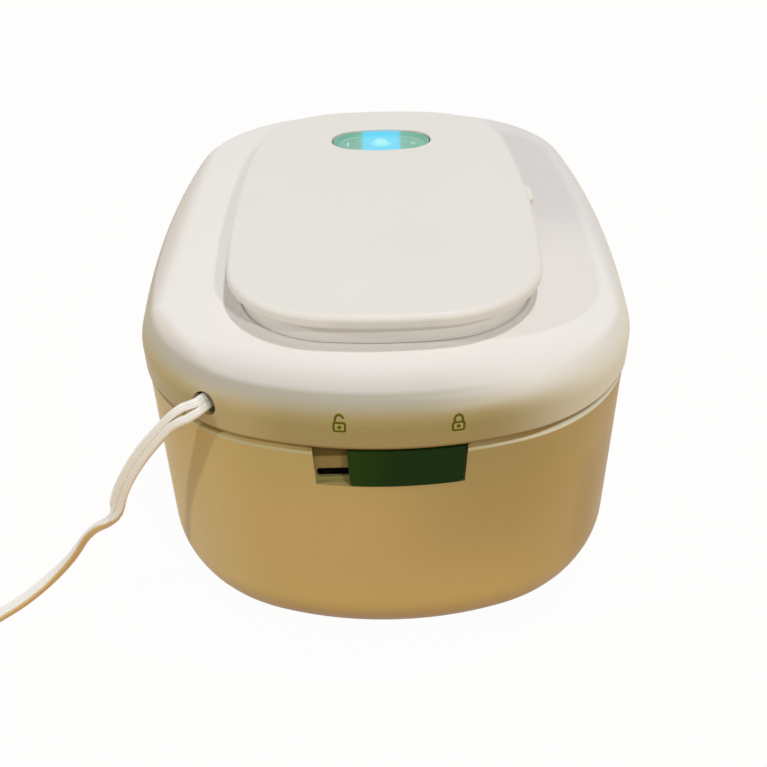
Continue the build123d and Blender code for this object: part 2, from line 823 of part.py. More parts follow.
# ---------------------------------------------------------------- heater stack
with BuildPart() as heater_plate:
    add(prism(plan(heater_inset), heater_z, heater_z + heater_thickness))
    add(prism(chute_plan(chute_wall), heater_z - 1, heater_z + 2), mode=Mode.SUBTRACT)
    add(posts(plate_screw_spots, screw_shank, heater_z - 1, heater_z + 2), mode=Mode.SUBTRACT)
finish_part(heater_plate, "heater_plate")

with BuildPart() as heating_film:
    add(prism(plan(heater_inset + film_margin), pan_floor - film_thickness, pan_floor))
    add(prism(chute_plan(chute_wall + film_margin), pan_floor - 1, pan_floor + 1), mode=Mode.SUBTRACT)
    add(posts(plate_screw_spots, clear_hole, pan_floor - 1, pan_floor + 1), mode=Mode.SUBTRACT)
finish_part(heating_film, "heating_film")

with BuildPart() as insulation_pad:
    add(prism(plan(pan_inset + pan_thickness + pad_margin), insulation_z, insulation_top))
    add(prism(chute_plan(chute_wall + running_gap), insulation_z - 1, insulation_top + 1), mode=Mode.SUBTRACT)
    cutout_hole = cutout_radius + 3 * running_gap
    add(posts([cutout_spot], cutout_hole, insulation_z - 1, insulation_top + 1), mode=Mode.SUBTRACT)
    post_spots = plate_screw_spots + board_post_spots
    add(posts(post_spots, clear_hole, insulation_z - 1, insulation_top + 1), mode=Mode.SUBTRACT)
finish_part(insulation_pad, "insulation_pad")

with BuildPart() as plate_screws:
    add(posts(plate_screw_spots, screw_head, heater_z - heater_thickness, heater_z))
    fillet(plate_screws.edges().filter_by(GeomType.CIRCLE).group_by(Axis.Z)[0], screw_round)
    add(posts(plate_screw_spots, screw_shank - 0.1, heater_z, insulation_top - heater_thickness))
finish_part(plate_screws, "plate_screws")

with BuildPart() as thermal_cutout:
    add(posts([cutout_spot], cutout_radius, pan_floor, pan_floor + cutout_height))
    fillet(thermal_cutout.edges().filter_by(GeomType.CIRCLE).group_by(Axis.Z)[-1], edge_break)
    with Locations(Location((*cutout_spot, pan_floor + cutout_height))):
        with GridLocations(cutout_radius, 0, 2, 1):
            Box(
                terminal_thickness,
                terminal_width,
                terminal_height,
                align=(Align.CENTER, Align.CENTER, Align.MIN),
            )
finish_part(thermal_cutout, "thermal_cutout")

# ---------------------------------------------------------------- electronics in the top unit
with BuildPart() as power_board:
    with BuildSketch(Plane.XY.offset(power_board_z)):
        with Locations((0, power_board_y)):
            Rectangle(board_width, board_depth)
    extrude(amount=board_thickness)
    # transformer and relay stand at the ends of the board, the smoothing can between them
    with BuildSketch(Plane.XY.offset(power_board_z + board_thickness)):
        with Locations((-board_width * 0.32, power_board_y)):
            Rectangle(board_width * 0.3, board_depth * 0.8)
        with Locations((board_width * 0.28, power_board_y)):
            Rectangle(board_width * 0.34, board_depth * 0.66)
    extrude(amount=part_height)
    with BuildSketch(Plane.XY.offset(power_board_z + board_thickness)):
        with Locations((-board_width * 0.06, power_board_y)):
            Circle(board_depth * 0.26)
    extrude(amount=part_height * 0.9)
finish_part(power_board, "power_board")

board_inset = window_gap + boss_wall + running_gap
board_top = control_z + board_thickness

with BuildPart() as control_board:
    add(prism(window_plan(board_inset), control_z, board_top))
    # the two touch sensors' pads, one on each side of the light guide
    with BuildSketch(Plane.XY.offset(board_top)):
        with Locations((0, window_y)):
            with GridLocations(touch_spacing, 0, 2, 1):
                RectangleRounded(touch_pad, touch_pad, touch_pad / 5)
    extrude(amount=(lens_z - board_top) / 2)
finish_part(control_board, "control_board")

with BuildPart() as light_guide:
    with BuildSketch(Plane.XY.offset(board_top)):
        with Locations((0, window_y)):
            RectangleRounded(light_width, 2 * (window_half_y - board_inset) - light_gap, light_corner)
    extrude(amount=lens_z - board_top)
finish_part(light_guide, "light_guide")

# a cap on the boss: a plug inside the boss's wall and a shallow dish with a sloping rim on top
with BuildPart() as panel_lens:
    add(prism(window_plan(window_gap), boss_z, lens_top))
    fillet(panel_lens.faces().sort_by(Axis.Z)[-1].edges(), lens_rim * 0.4)
    add(prism(window_plan(window_gap + boss_wall + plug_clearance), lens_z, boss_z))
    with BuildSketch(Plane.XY.offset(lens_top)):
        add(window_plan(window_gap + lens_rim))
    extrude(amount=-lens_dish, taper=lens_slope, mode=Mode.SUBTRACT)
finish_part(panel_lens, "panel_lens")

with BuildPart() as catch_plate:
    add(posts([(magnet_x, lid_y)], magnet_radius + plate_grow, seat_z - plate_thickness, seat_z - 0.1))
finish_part(catch_plate, "catch_plate")

# ---------------------------------------------------------------- hinge pins
with BuildPart() as hinge_pins:
    for spot in hinge_spots:
        with BuildSketch(Plane.XZ.offset(-(spot + ear_pitch + ear_length / 2))):
            with Locations((hinge_x, hinge_z)):
                Circle(pin_radius)
        extrude(amount=2 * ear_pitch + ear_length)
finish_part(hinge_pins, "hinge_pins")

# ---------------------------------------------------------------- lid
notch_top = hinge_z + ear_radius + 0.4
notch_depth = lid_overhang + lid_skirt_wall + 1.8
ear_web = lid_half_width - lid_overhang - abs(hinge_x) + lid_skirt_wall + 0.6
lid_screw_x = lid_half_width - lid_screw_side
lid_screw_y = lid_half_length - lid_screw_end
middle_screw_x = lid_half_width - middle_screw_side
lid_screw_spots = [(sx * lid_screw_x, lid_y + sy * lid_screw_y) for sx in (-1, 1) for sy in (-1, 1)]
lid_screw_spots += [(sx * middle_screw_x, lid_y + middle_screw_shift) for sx in (-1, 1)]

with BuildPart() as lid_blank:
    add(prism(lid_plan(), plate_z, lid_top_z))
    fillet(lid_blank.faces().sort_by(Axis.Z)[-1].edges(), lid_edge_round)
    fillet(lid_blank.faces().sort_by(Axis.Z)[0].edges(), lid_under_round)

# thumb tab in the middle of the opening side
with BuildPart() as thumb_tab:
    with BuildSketch(Plane.XY.offset(plate_z + tab_lift)):
        with Locations((lid_half_width + tab_depth - tab_root / 2, lid_y)):
            RectangleRounded(tab_root, tab_length, tab_corner)
    extrude(amount=tab_thickness)
    fillet(thumb_tab.faces().sort_by(Axis.Z)[-1].edges(), tab_thickness * 0.4)
    fillet(thumb_tab.faces().sort_by(Axis.Z)[0].edges(), tab_thickness * 0.2)

with BuildPart() as lid_top:
    add(lid_blank.part)
    add(thumb_tab.part)
    add(prism(lid_plan(lid_overhang), skirt_z, plate_z + 0.5))
    add(prism(lid_plan(lid_overhang + lid_skirt_wall), skirt_z - 1, lid_top_z - lid_roof), mode=Mode.SUBTRACT)
    # wall round the control window, down to the inner panel
    add(prism(window_plan(-window_wall), inner_z + inner_panel, lid_top_z - lid_roof + 0.1))
    add(prism(window_plan(), skirt_z, lid_top_z + 1), mode=Mode.SUBTRACT)
    fillet(lid_top.faces().filter_by(Axis.Z).sort_by(Axis.Z)[-1].inner_wires()[0].edges(), window_round)
    # the lid's own ear in the middle of each hinge, and notches round the cover's ears
    for spot in hinge_spots:
        with BuildSketch(Plane.XZ.offset(-(spot + ear_length / 2))):
            with Locations((hinge_x, hinge_z)):
                Circle(ear_radius)
                Rectangle(ear_web, 2 * ear_radius, align=(Align.MIN, Align.CENTER))
        extrude(amount=ear_length)
        for shift in (-ear_pitch, ear_pitch):
            with Locations((hinge_x + notch_depth / 2 - 3.0, spot + shift, notch_top)):
                Box(
                    notch_depth,
                    ear_length + 2 * running_gap,
                    notch_top - skirt_z + 1,
                    align=(Align.CENTER, Align.CENTER, Align.MAX),
                    mode=Mode.SUBTRACT,
                )
    add(hinge_bores(pin_radius + pin_clearance), mode=Mode.SUBTRACT)
    # screw bosses
    add(posts(lid_screw_spots, lid_boss, inner_z + inner_panel, lid_top_z - lid_roof + 0.1))
    add(posts(lid_screw_spots, pilot_radius, inner_z, lid_top_z - lid_roof * 1.2), mode=Mode.SUBTRACT)
finish_part(lid_top, "lid_top")

with BuildPart() as lid_inner:
    add(prism(lid_plan(lid_overhang + lid_skirt_wall + running_gap), inner_z, inner_z + inner_panel))
    # cup for the magnet and a groove rim for the seal
    add(posts([(magnet_x, lid_y)], magnet_radius + magnet_cup, skirt_z + 0.2, inner_z))
    add(prism(chute_plan(frame_flange + seal_rib + 0.6), inner_z - seal_rib_height, inner_z))
    add(prism(chute_plan(frame_flange + 0.6), inner_z - 2 * seal_rib_height, inner_z), mode=Mode.SUBTRACT)
    magnet_hole = magnet_radius + plug_clearance
    add(posts([(magnet_x, lid_y)], magnet_hole, skirt_z - 1, magnet_z + magnet_height), mode=Mode.SUBTRACT)
    add(prism(window_plan(), inner_z - 1, inner_z + inner_panel + 1), mode=Mode.SUBTRACT)
    add(
        posts(lid_screw_spots, pilot_radius + hole_clearance, inner_z - 1, inner_z + inner_panel + 1),
        mode=Mode.SUBTRACT,
    )
finish_part(lid_inner, "lid_inner")

lid_screw_tip = inner_z + 2 * inner_panel
lid_screws = screws(
    lid_screw_spots, inner_z - lid_head_height, lid_screw_tip, lid_head, lid_shank, lid_head_height
)
finish_part(lid_screws, "lid_screws")

with BuildPart() as lid_seal:
    add(prism(chute_plan(frame_flange + 0.5), frame_top + running_gap, inner_z))
    add(prism(chute_plan(frame_flange + 0.5 - seal_width), frame_top - 1, inner_z + 1), mode=Mode.SUBTRACT)
    fillet(lid_seal.faces().sort_by(Axis.Z)[0].edges(), seal_width * 0.3)
finish_part(lid_seal, "lid_seal")

with BuildPart() as lid_magnet:
    add(posts([(magnet_x, lid_y)], magnet_radius, magnet_z, magnet_z + magnet_height))
finish_part(lid_magnet, "lid_magnet")

# ---------------------------------------------------------------- mains lead
cord_radius = cord_diameter / 2

with BuildPart() as cord_lead:
    with BuildSketch(hole_plane.offset(-lead_length)):
        Circle(cord_radius)
    extrude(amount=lead_length)
finish_part(cord_lead, "cord_lead")


with BuildPart() as cord_clamp:
    with BuildSketch(hole_plane.offset(-lead_length)):
        with Locations((0, cord_radius + clamp_cap)):
            clamp_height = hole_z - pan_flange_top + cord_radius + clamp_cap
            Rectangle(clamp_width, clamp_height, align=(Align.CENTER, Align.MAX))
        Circle(cord_radius + 0.02, mode=Mode.SUBTRACT)
    extrude(amount=clamp_depth)
    fillet(cord_clamp.edges().filter_by(lambda e: abs(e.tangent_at(0.5).dot(hole_normal)) > 0.99), 1.0)
finish_part(cord_clamp, "cord_clamp")

# ---------------------------------------------------------------- free lead, coil and plug
route = [Vector(*point) for point in cord_route]
bends = []
for before, here, after in zip(route, route[1:], route[2:]):
    turn = (here - before).get_angle(after - here)
    shorter = min((here - before).length, (after - here).length)
    bends.append(0.45 * shorter / tan(radians(turn / 2)))
print("bend radii of the lead:", [round(bend, 1) for bend in bends])

with BuildPart() as cord_tube:
    with BuildLine():
        FilletPolyline(*route, radius=bends)
    with BuildSketch(Plane(origin=route[0], z_dir=route[1] - route[0])):
        Circle(cord_radius)
    sweep()
finish_part(cord_tube, "cord_tube")

# the coil lies flat beside the object; its outer turn carries on from the route's last run
heading = (route[-1] - route[-2]).normalized()
coil_outer = coil_radius + cord_diameter * (coil_turns_across - 1) / 2
coil_start = route[-1] + heading * coil_run_in
coil_centre = coil_start + Vector(heading.Y, -heading.X, 0) * coil_outer

with BuildPart() as cord_coil:
    with BuildSketch(Plane((coil_centre.X, coil_centre.Y, 0))):
        Circle(coil_outer + cord_radius)
        Circle(coil_outer - cord_diameter * (coil_turns_across - 1) - cord_radius, mode=Mode.SUBTRACT)
    extrude(amount=cord_diameter * coil_layers)
    fillet(cord_coil.edges().filter_by(GeomType.CIRCLE), cord_radius * 0.9)
finish_part(cord_coil, "cord_coil")

# the last turn runs off the top layer to the plug, which lies beside the coil
exit_angle = radians(coil_exit_turn)
exit_heading = Vector(sin(exit_angle), -cos(exit_angle), 0)
exit_z = cord_diameter * (coil_layers - 0.5)
exit_point = Vector(
    coil_centre.X + coil_outer * cos(exit_angle), coil_centre.Y + coil_outer * sin(exit_angle), exit_z
)
tail_point = exit_point + exit_heading * tail_start
tail_plane = Plane(origin=tail_point, x_dir=(exit_heading.Y, -exit_heading.X, 0), z_dir=exit_heading)

with BuildPart() as cord_tail:
    with BuildSketch(tail_plane):
        Circle(cord_radius)
    extrude(amount=tail_end - tail_start)
finish_part(cord_tail, "cord_tail")

plug_plane = tail_plane.offset(tail_end - tail_start)

with BuildPart() as plug_body:
    with BuildSketch(plug_plane):
        RectangleRounded(cord_diameter + 2.0, cord_diameter + 1.0, 2.6)
    with BuildSketch(plug_plane.offset(plug_relief)):
        RectangleRounded(cord_diameter + 5.0, cord_diameter + 3.2, 3.4)
    loft()
    with BuildSketch(plug_plane.offset(plug_relief)):
        RectangleRounded(plug_width * 0.62, plug_thickness * 0.72, 3.6)
    with BuildSketch(plug_plane.offset(plug_relief + plug_length * 0.35)):
        RectangleRounded(plug_width, plug_thickness * 0.96, 4.2)
    with BuildSketch(plug_plane.offset(plug_relief + plug_length)):
        RectangleRounded(plug_width * 0.94, plug_thickness, 4.6)
    loft()
finish_part(plug_body, "plug_body")

with BuildPart() as plug_blades:
    with BuildSketch(plug_plane.offset(plug_relief + plug_length)):
        with GridLocations(blade_spacing, 0, 2, 1):
            Rectangle(blade_thickness, blade_width)
    extrude(amount=blade_length)
    tip_edges = plug_blades.edges().filter_by(Axis.Z).group_by(lambda e: round(e.center().Y, 1))[-2:]
    chamfer(tip_edges[0] + tip_edges[1], 0.4)
finish_part(plug_blades, "plug_blades")
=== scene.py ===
import math

import bpy
import numpy as np
from mathutils import Matrix, Vector
from mathutils.bvhtree import BVHTree


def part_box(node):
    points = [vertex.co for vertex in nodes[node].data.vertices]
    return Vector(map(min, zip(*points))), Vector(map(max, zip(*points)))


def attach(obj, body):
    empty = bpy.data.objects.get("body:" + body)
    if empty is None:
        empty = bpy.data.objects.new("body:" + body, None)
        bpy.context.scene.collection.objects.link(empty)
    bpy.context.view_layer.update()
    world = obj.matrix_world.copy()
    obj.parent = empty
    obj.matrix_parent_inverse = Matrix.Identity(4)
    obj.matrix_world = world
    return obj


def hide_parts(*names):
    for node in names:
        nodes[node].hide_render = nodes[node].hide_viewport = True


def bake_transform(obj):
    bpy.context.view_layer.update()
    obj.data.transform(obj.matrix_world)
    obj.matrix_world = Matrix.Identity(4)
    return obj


# %% [markdown]
# # A baby wipe warmer, dressed from its CAD frame
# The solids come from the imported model: an oval tub, a heated top unit that lifts off, a lid with a lit
# control window, a slide lock and a mains lead. This script gives every surface its finish and makes what
# the solids leave plain: the flat twin lead and the printed and lit signs. All of it is in metres, in the
# same frame as the solids, so nothing is fitted by eye.

# %% Load the frame
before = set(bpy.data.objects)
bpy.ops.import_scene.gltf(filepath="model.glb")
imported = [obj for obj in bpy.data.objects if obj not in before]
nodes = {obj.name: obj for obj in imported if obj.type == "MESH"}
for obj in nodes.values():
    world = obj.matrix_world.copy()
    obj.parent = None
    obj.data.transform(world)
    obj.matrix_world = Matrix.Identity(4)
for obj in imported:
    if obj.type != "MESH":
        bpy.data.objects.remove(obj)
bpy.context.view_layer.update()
MM = 0.001
print("pieces in the frame:", len(nodes))

# %% [markdown]
# ## Camera
# A product seen from its near end and from above, close enough for a strong perspective. The camera is
# placed by a target on the object, a distance and an elevation, which is easier to reason about than a
# bare location. It leans by about a degree, so its axes are built by hand and put into one matrix.

# %% Camera
image_side = 767
focal_pixels = 950.5
sensor_width = 36.0
camera_target = Vector((-1.17, -20.35, 40.31)) * MM
camera_distance = 391.4 * MM
camera_elevation = math.radians(34.85)
camera_roll = math.radians(-1.21)

camera_back = Vector((0, -math.cos(camera_elevation), math.sin(camera_elevation)))
level_right = Vector((0, 0, 1)).cross(camera_back).normalized()
level_up = camera_back.cross(level_right)
camera_right = math.cos(camera_roll) * level_right + math.sin(camera_roll) * level_up
camera_up = math.cos(camera_roll) * level_up - math.sin(camera_roll) * level_right

camera = bpy.data.objects.new("camera", bpy.data.cameras.new("camera"))
bpy.context.scene.collection.objects.link(camera)
turn = Matrix((camera_right, camera_up, camera_back)).transposed().to_4x4()
camera.matrix_world = Matrix.Translation(camera_target + camera_back * camera_distance) @ turn
camera.data.sensor_width = sensor_width
camera.data.lens = focal_pixels / image_side * sensor_width
bpy.context.scene.camera = camera
print("lens:", round(camera.data.lens, 2), "mm")

# %% [markdown]
# ## The mains lead's line
# The lead is a real length of flat twin cord. It leaves a bare hole in the cover, sags to the table, and the
# spare length lies in a neat coil with the plug beside it. One NURBS spline carries the whole line: the
# points of the free stretch are given one by one, and the coil's turns come from a loop.

# %% Route of the free lead
route = [
    (-55.9, -112.6, 98.1),
    (-56.7, -113.7, 98.1),
    (-59.4, -114.3, 97.0),
    (-64.2, -113.9, 94.0),
    (-69.4, -112.6, 88.0),
    (-76.2, -110.4, 79.2),
    (-83.2, -106.8, 67.9),
    (-89.9, -102.8, 54.8),
    (-94.0, -99.0, 41.0),
    (-105.6, -95.2, 32.2),
    (-113.6, -96.0, 20.4),
    (-122.8, -97.7, 11.4),
    (-132.9, -103.8, 5.8),
    (-143.6, -111.7, 4.2),
    (-155.2, -119.6, 2.75),
    (-167.6, -127.3, 2.75),
]
cord_width = 5.4
print("points of the free stretch:", len(route))

# %% Turns of the coil
coil_radius = 31.5
coil_layers = 2
turns_across = 3
coil_run_in = 12.0
coil_exit_turn = math.radians(160.0)
tail_length = 26.0
points_per_turn = 16

last_run = Vector(route[-1]) - Vector(route[-2])
heading = last_run.normalized()
outer_radius = coil_radius + cord_width * (turns_across - 1) / 2
coil_start = Vector(route[-1]) + heading * coil_run_in
coil_centre = coil_start + Vector((heading.y, -heading.x, 0)) * outer_radius
start_angle = math.atan2(coil_start.y - coil_centre.y, coil_start.x - coil_centre.x)
coil_turns = turns_across * coil_layers + (start_angle - coil_exit_turn) / (2 * math.pi) % 1


def coil_point(turns):
    """A place on the coil, clockwise from its start: in across the bottom layer, out across the top one."""
    per_layer = coil_turns / coil_layers
    layer = min(int(turns / per_layer), coil_layers - 1)
    share = (turns - layer * per_layer) / per_layer
    way_in = share if layer == 0 else 1 - share
    step = min(max((turns - per_layer) * 2 + 0.5, 0), 1)
    radius = outer_radius - cord_width * (turns_across - 1) * way_in
    angle = start_angle - turns * 2 * math.pi
    lift = cord_width * (0.5 + step)
    return Vector((coil_centre.x + radius * math.cos(angle), coil_centre.y + radius * math.sin(angle), lift))


coil_steps = int(coil_turns * points_per_turn)
coil_line = [coil_point(coil_turns * step / coil_steps) for step in range(coil_steps + 1)]
exit_heading = Vector((math.sin(coil_exit_turn), -math.cos(coil_exit_turn), 0))
tail_line = [coil_line[-1] + exit_heading * tail_length * share for share in (0.45, 1.0)]
print("turns of the coil:", round(coil_turns, 2))


# %% One smooth spline through the lead's points
def smooth_line(points, resolution):
    """The points of a NURBS curve with these control points, in metres."""
    curve = bpy.data.curves.new("lead_line", "CURVE")
    curve.dimensions = "3D"
    curve.resolution_u = resolution
    spline = curve.splines.new("NURBS")
    spline.points.add(len(points) - 1)
    for place, point in zip(spline.points, points):
        place.co = (*(Vector(point) * MM), 1)
    spline.order_u = 3
    spline.use_endpoint_u = True
    holder = bpy.data.objects.new("lead_line", curve)
    mesh = bpy.data.meshes.new_from_object(holder)
    line = [vertex.co.copy() for vertex in mesh.vertices]
    bpy.data.meshes.remove(mesh)
    bpy.data.objects.remove(holder)
    return line


lead_line = smooth_line(route + coil_line + tail_line, 5)
run_lengths = [(after - before).length for before, after in zip(lead_line, lead_line[1:])]

# %% [markdown]
# ## Shader maths as sums
# A finish that varies needs maths in its node tree. Wrapping a socket in a small class lets a line of
# Python such as `1 - mask * 0.3` add the Math nodes by itself. Every other node goes through one method
# that takes its type, its settings and what feeds its sockets.


# %% Sockets that can stand in a sum
def feed(tree, socket, value):
    """Gives an input socket a link or a plain value."""
    if isinstance(value, Link):
        tree.links.new(value.socket, socket)
    else:
        socket.default_value = value


class Link:
    """An output socket that can stand in a sum: each operator adds its Math node."""

    def __init__(self, tree, socket):
        self.tree = tree
        self.socket = socket

    def math(self, operation, *values):
        node = self.tree.nodes.new("ShaderNodeMath")
        node.operation = operation
        for place, value in zip(node.inputs, values):
            feed(self.tree, place, value)
        return Link(self.tree, node.outputs[0])

    def __add__(self, other):
        return self.math("ADD", self, other)

    def __sub__(self, other):
        return self.math("SUBTRACT", self, other)

    def __rsub__(self, other):
        return self.math("SUBTRACT", other, self)

    def __mul__(self, other):
        return self.math("MULTIPLY", self, other)

    __radd__ = __add__
    __rmul__ = __mul__

    def absolute(self):
        return self.math("ABSOLUTE", self)

    def at_least(self, other):
        return self.math("MAXIMUM", self, other)

    def at_most(self, other):
        return self.math("MINIMUM", self, other)

    def clamped(self):
        return self.at_least(0.0).at_most(1.0)


print("sockets can stand in sums with + - and *")

# %% A finish: one material and short ways to build it
def srgb(red, green, blue):
    """A colour picked on screen, 0 to 255, as the linear values that shaders use."""
    shares = [value / 255 for value in (red, green, blue)]
    linear = [share / 12.92 if share <= 0.04045 else ((share + 0.055) / 1.055) ** 2.4 for share in shares]
    return (*linear, 1.0)


class Finish:
    """A material with its node tree and its Principled shader."""

    def __init__(self, name, **constants):
        self.material = bpy.data.materials.new(name)
        self.material.use_nodes = True
        self.tree = self.material.node_tree
        self.shader = self.tree.nodes["Principled BSDF"]
        self.place = self.node("ShaderNodeTexCoord", output="Object")
        self.set(**constants)

    def node(self, kind, settings=(), sockets=(), output=0):
        """Any node: its settings first, then what feeds its sockets; gives back one output."""
        node = self.tree.nodes.new(kind)
        for name, value in dict(settings).items():
            setattr(node, name, value)
        for name, value in dict(sockets).items():
            feed(self.tree, node.inputs[name], value)
        return Link(self.tree, node.outputs[output])

    def set(self, **sockets):
        """Feeds the shader's sockets; base_color stands for Base Color."""
        for name, value in sockets.items():
            feed(self.tree, self.shader.inputs[name.replace("_", " ").title().replace("Ior", "IOR")], value)

    def mix(self, factor, first, second):
        """A colour between two colours."""
        sockets = {0: factor, 6: first, 7: second}
        return self.node("ShaderNodeMix", {"data_type": "RGBA"}, sockets, output=2)

    def axis(self, name):
        """One coordinate of the place on the piece, in metres."""
        return self.node("ShaderNodeSeparateXYZ", sockets={0: self.place}, output=name)

    def noise(self, size, detail=2.0):
        """Cloudy noise whose blobs are about size metres across, from 0 to 1."""
        sockets = {"Vector": self.place, "Scale": 1 / size, "Detail": detail}
        return self.node("ShaderNodeTexNoise", sockets=sockets)

    def ramp(self, value, low, high):
        """0 below low and 1 above high, smooth between."""
        settings = {"interpolation_type": "SMOOTHSTEP"}
        return self.node("ShaderNodeMapRange", settings, {0: value, 1: low, 2: high})

    def span(self, value, start, end):
        """A ramp between two places in millimetres, which may fall as well as rise."""
        return self.ramp(value, start * MM, end * MM)

    def fade(self, value, start, end, first, second, share=1.0):
        """One colour before the start and another past the end, in millimetres, or only a share of it."""
        factor = self.span(value, start, end)
        if share < 1.0:
            factor = factor * share
        return self.mix(factor, first, second)

    def bump(self, height, depth, strength=1.0):
        """A fine relief of this depth in metres."""
        sockets = {"Height": height, "Distance": depth, "Strength": strength}
        self.set(normal=self.node("ShaderNodeBump", sockets=sockets))


def paint(finish, *names):
    """Gives a finish to CAD nodes."""
    for name in names:
        nodes[name].data.materials.clear()
        nodes[name].data.materials.append(finish.material)


print("white renders as", [round(value, 2) for value in srgb(255, 255, 255)])

# %% [markdown]
# ## White plastic of the lid
# The lid is satin moulded plastic, nearly white. One flat colour would look like paint in a drawing, so two
# near whites drift into each other, the gloss changes a little from place to place, as on any handled
# surface, and a very fine bump stands for the even grain of the mould, which takes the edge off every
# highlight. The same grain and gloss serve all the moulded pieces, so they come from one function.

# %% Shared traits of the finishes
grain_size = 0.45 * MM
grain_depth = 0.012 * MM
grain_detail = 3.0
handled_size = 22 * MM


def cloudy(finish, size, first, second, detail=2.0):
    """A base colour that drifts between two near ones, in clouds of this size."""
    finish.set(base_color=finish.mix(finish.noise(size, detail), first, second))


def uneven_gloss(finish, size, low, high):
    """A roughness that wanders between two values, in patches of this size."""
    finish.set(roughness=finish.noise(size) * (high - low) + low)


def moulded(finish, low, high):
    """The mould's grain and the uneven gloss of a handled surface."""
    uneven_gloss(finish, handled_size, low, high)
    finish.bump(finish.noise(grain_size, grain_detail), grain_depth)


print("mould grain:", round(grain_size / MM, 2), "mm across,", round(grain_depth / MM, 3), "mm deep")

# %% White plastic of the lid
lid_pale = srgb(232, 229, 224)
lid_grey = srgb(226, 222, 216)
lid_near_rim_shade = srgb(219, 219, 213)

lid_finish = Finish("white_satin_plastic", specular_ior_level=0.18)
lid_white = lid_finish.mix(lid_finish.noise(60 * MM), lid_grey, lid_pale)
# painted shade darkens a band low on the lid's near end
near_rim_shade = 1 - lid_finish.span(lid_finish.axis("Y"), -97.4, -96.6)
near_rim_shade = near_rim_shade * (1 - lid_finish.span(lid_finish.axis("Z"), 116.4, 117.6))
lid_finish.set(base_color=lid_finish.mix(near_rim_shade, lid_white, lid_near_rim_shade))
moulded(lid_finish, 0.36, 0.46)
paint(lid_finish, "lid_top")
print("nodes in the lid's finish:", len(lid_finish.tree.nodes))

# %% [markdown]
# ## The cover, with painted shade towards the seam
# The cover is white plastic. Towards the seam, where it stands over the tub, painted warm shade and bounce
# light turn it tan. The painted band climbs highest at the near end and stays pale on the right, where
# painted light comes in. Both flanks and the far right of the crown take painted shade, a little warmer than
# the crown, and a thin painted shadow line runs along the bottom edge. A gradient along one axis can't do all
# that, so the finish mixes named tints one over the other, and each comes in over a span of millimetres along
# X, Y or Z.

# %% The cover's plastic, with painted shade and light
skirt_shade_tan = srgb(167, 150, 103)
skirt_shade_tan_left = srgb(184, 166, 120)
skirt_lit_tan_right = srgb(222, 217, 201)
skirt_shade_grey = srgb(174, 168, 153)
skirt_lit_grey_right = srgb(222, 216, 207)
skirt_shade_grey_left = srgb(184, 175, 154)
seam_shade = srgb(140, 110, 62)
crown_white = srgb(235, 231, 227)
crown_shade_right = srgb(221, 217, 217)
flank_shade_left = srgb(214, 204, 194)
flank_shade_right = srgb(222, 218, 215)
# behind the near end the skirt's painted shade reaches less high, by this much
skirt_drop = 1.2 * MM
# the left flank's painted shade comes further in at the near corner: past this place along Y, by this slope
corner_start = -68 * MM
corner_slope = 0.6

cover_finish = Finish("white_satin_plastic_painted_shade", specular_ior_level=0.18)
across = cover_finish.axis("X")
along = cover_finish.axis("Y")
height = cover_finish.axis("Z")
climb = height + cover_finish.span(along, -100, -40) * skirt_drop

# the skirt's tints are painted warm shade and bounce light, with painted light on the right
low = cover_finish.fade(across, 26, 70, skirt_shade_tan, skirt_lit_tan_right)
low = cover_finish.fade(across, -28, -46, low, skirt_shade_tan_left)
high = cover_finish.fade(across, 6, 48, skirt_shade_grey, skirt_lit_grey_right)
high = cover_finish.fade(across, -60, -80, high, skirt_shade_grey_left)
skirt = cover_finish.fade(climb, 99.6, 106, low, high)

# painted shade on the far right of the crown and on both flanks
far_right_shade = cover_finish.span(across, 38, 60) * cover_finish.span(along, -45, 15)
left_edge = across + (along - corner_start).at_most(0.0) * corner_slope
crown = cover_finish.mix(far_right_shade, crown_white, crown_shade_right)
crown = cover_finish.fade(left_edge, -73, -80, crown, flank_shade_left)
crown = cover_finish.fade(across, 74, 80, crown, flank_shade_right)

shell = cover_finish.fade(climb, 105.3, 106.5, skirt, crown)
# a painted shadow line along the cover's bottom edge, over the seam
cover_finish.set(base_color=cover_finish.fade(height, 90.7, 91.4, seam_shade, shell))
moulded(cover_finish, 0.36, 0.46)
paint(cover_finish, "cover_shell")
print("nodes in the cover's finish:", len(cover_finish.tree.nodes))

# %% [markdown]
# ## The tub, painted with warm light and shade
# The tub's plastic is white like the cover's, with the same satin grain, and its tan is painted warm bounce
# light. Painted shade deepens it at its foot, near its top, at its side edges and on the right, with a little
# more dimming on the right of its near end, and painted light makes it a touch lighter on the left. The
# narrow chamfer of its rim takes a painted highlight, with a thin painted shadow line above that where the
# cover's edge shades it. These bands follow the height, so they are tints over spans of Z, and they need no
# cut in the mesh. The pocket of the slide lock is a part of the same solid, and a mask made of three spans,
# one for each axis, gives its floor a painted shade of its own.

# %% Painted warm light and shade on the tub's wall
tub_warm_bounce = srgb(199, 171, 113)
tub_warm_bounce_low = srgb(204, 178, 110)
tub_foot_warm_shade = srgb(150, 108, 5)
tub_shade_high = srgb(189, 168, 110)
tub_lit_left = srgb(202, 178, 120)
tub_edge_left_shade = srgb(201, 174, 108)
tub_shade_right = srgb(186, 158, 97)
tub_edge_right_shade = srgb(184, 153, 86)
tub_low_right_shade = srgb(178, 148, 82)
painted_shade_dark = srgb(0, 0, 0)
dim_shade_share = 0.16

tub_finish = Finish("satin_plastic_painted_warm_shade", specular_ior_level=0.15)
across = tub_finish.axis("X")
height = tub_finish.axis("Z")
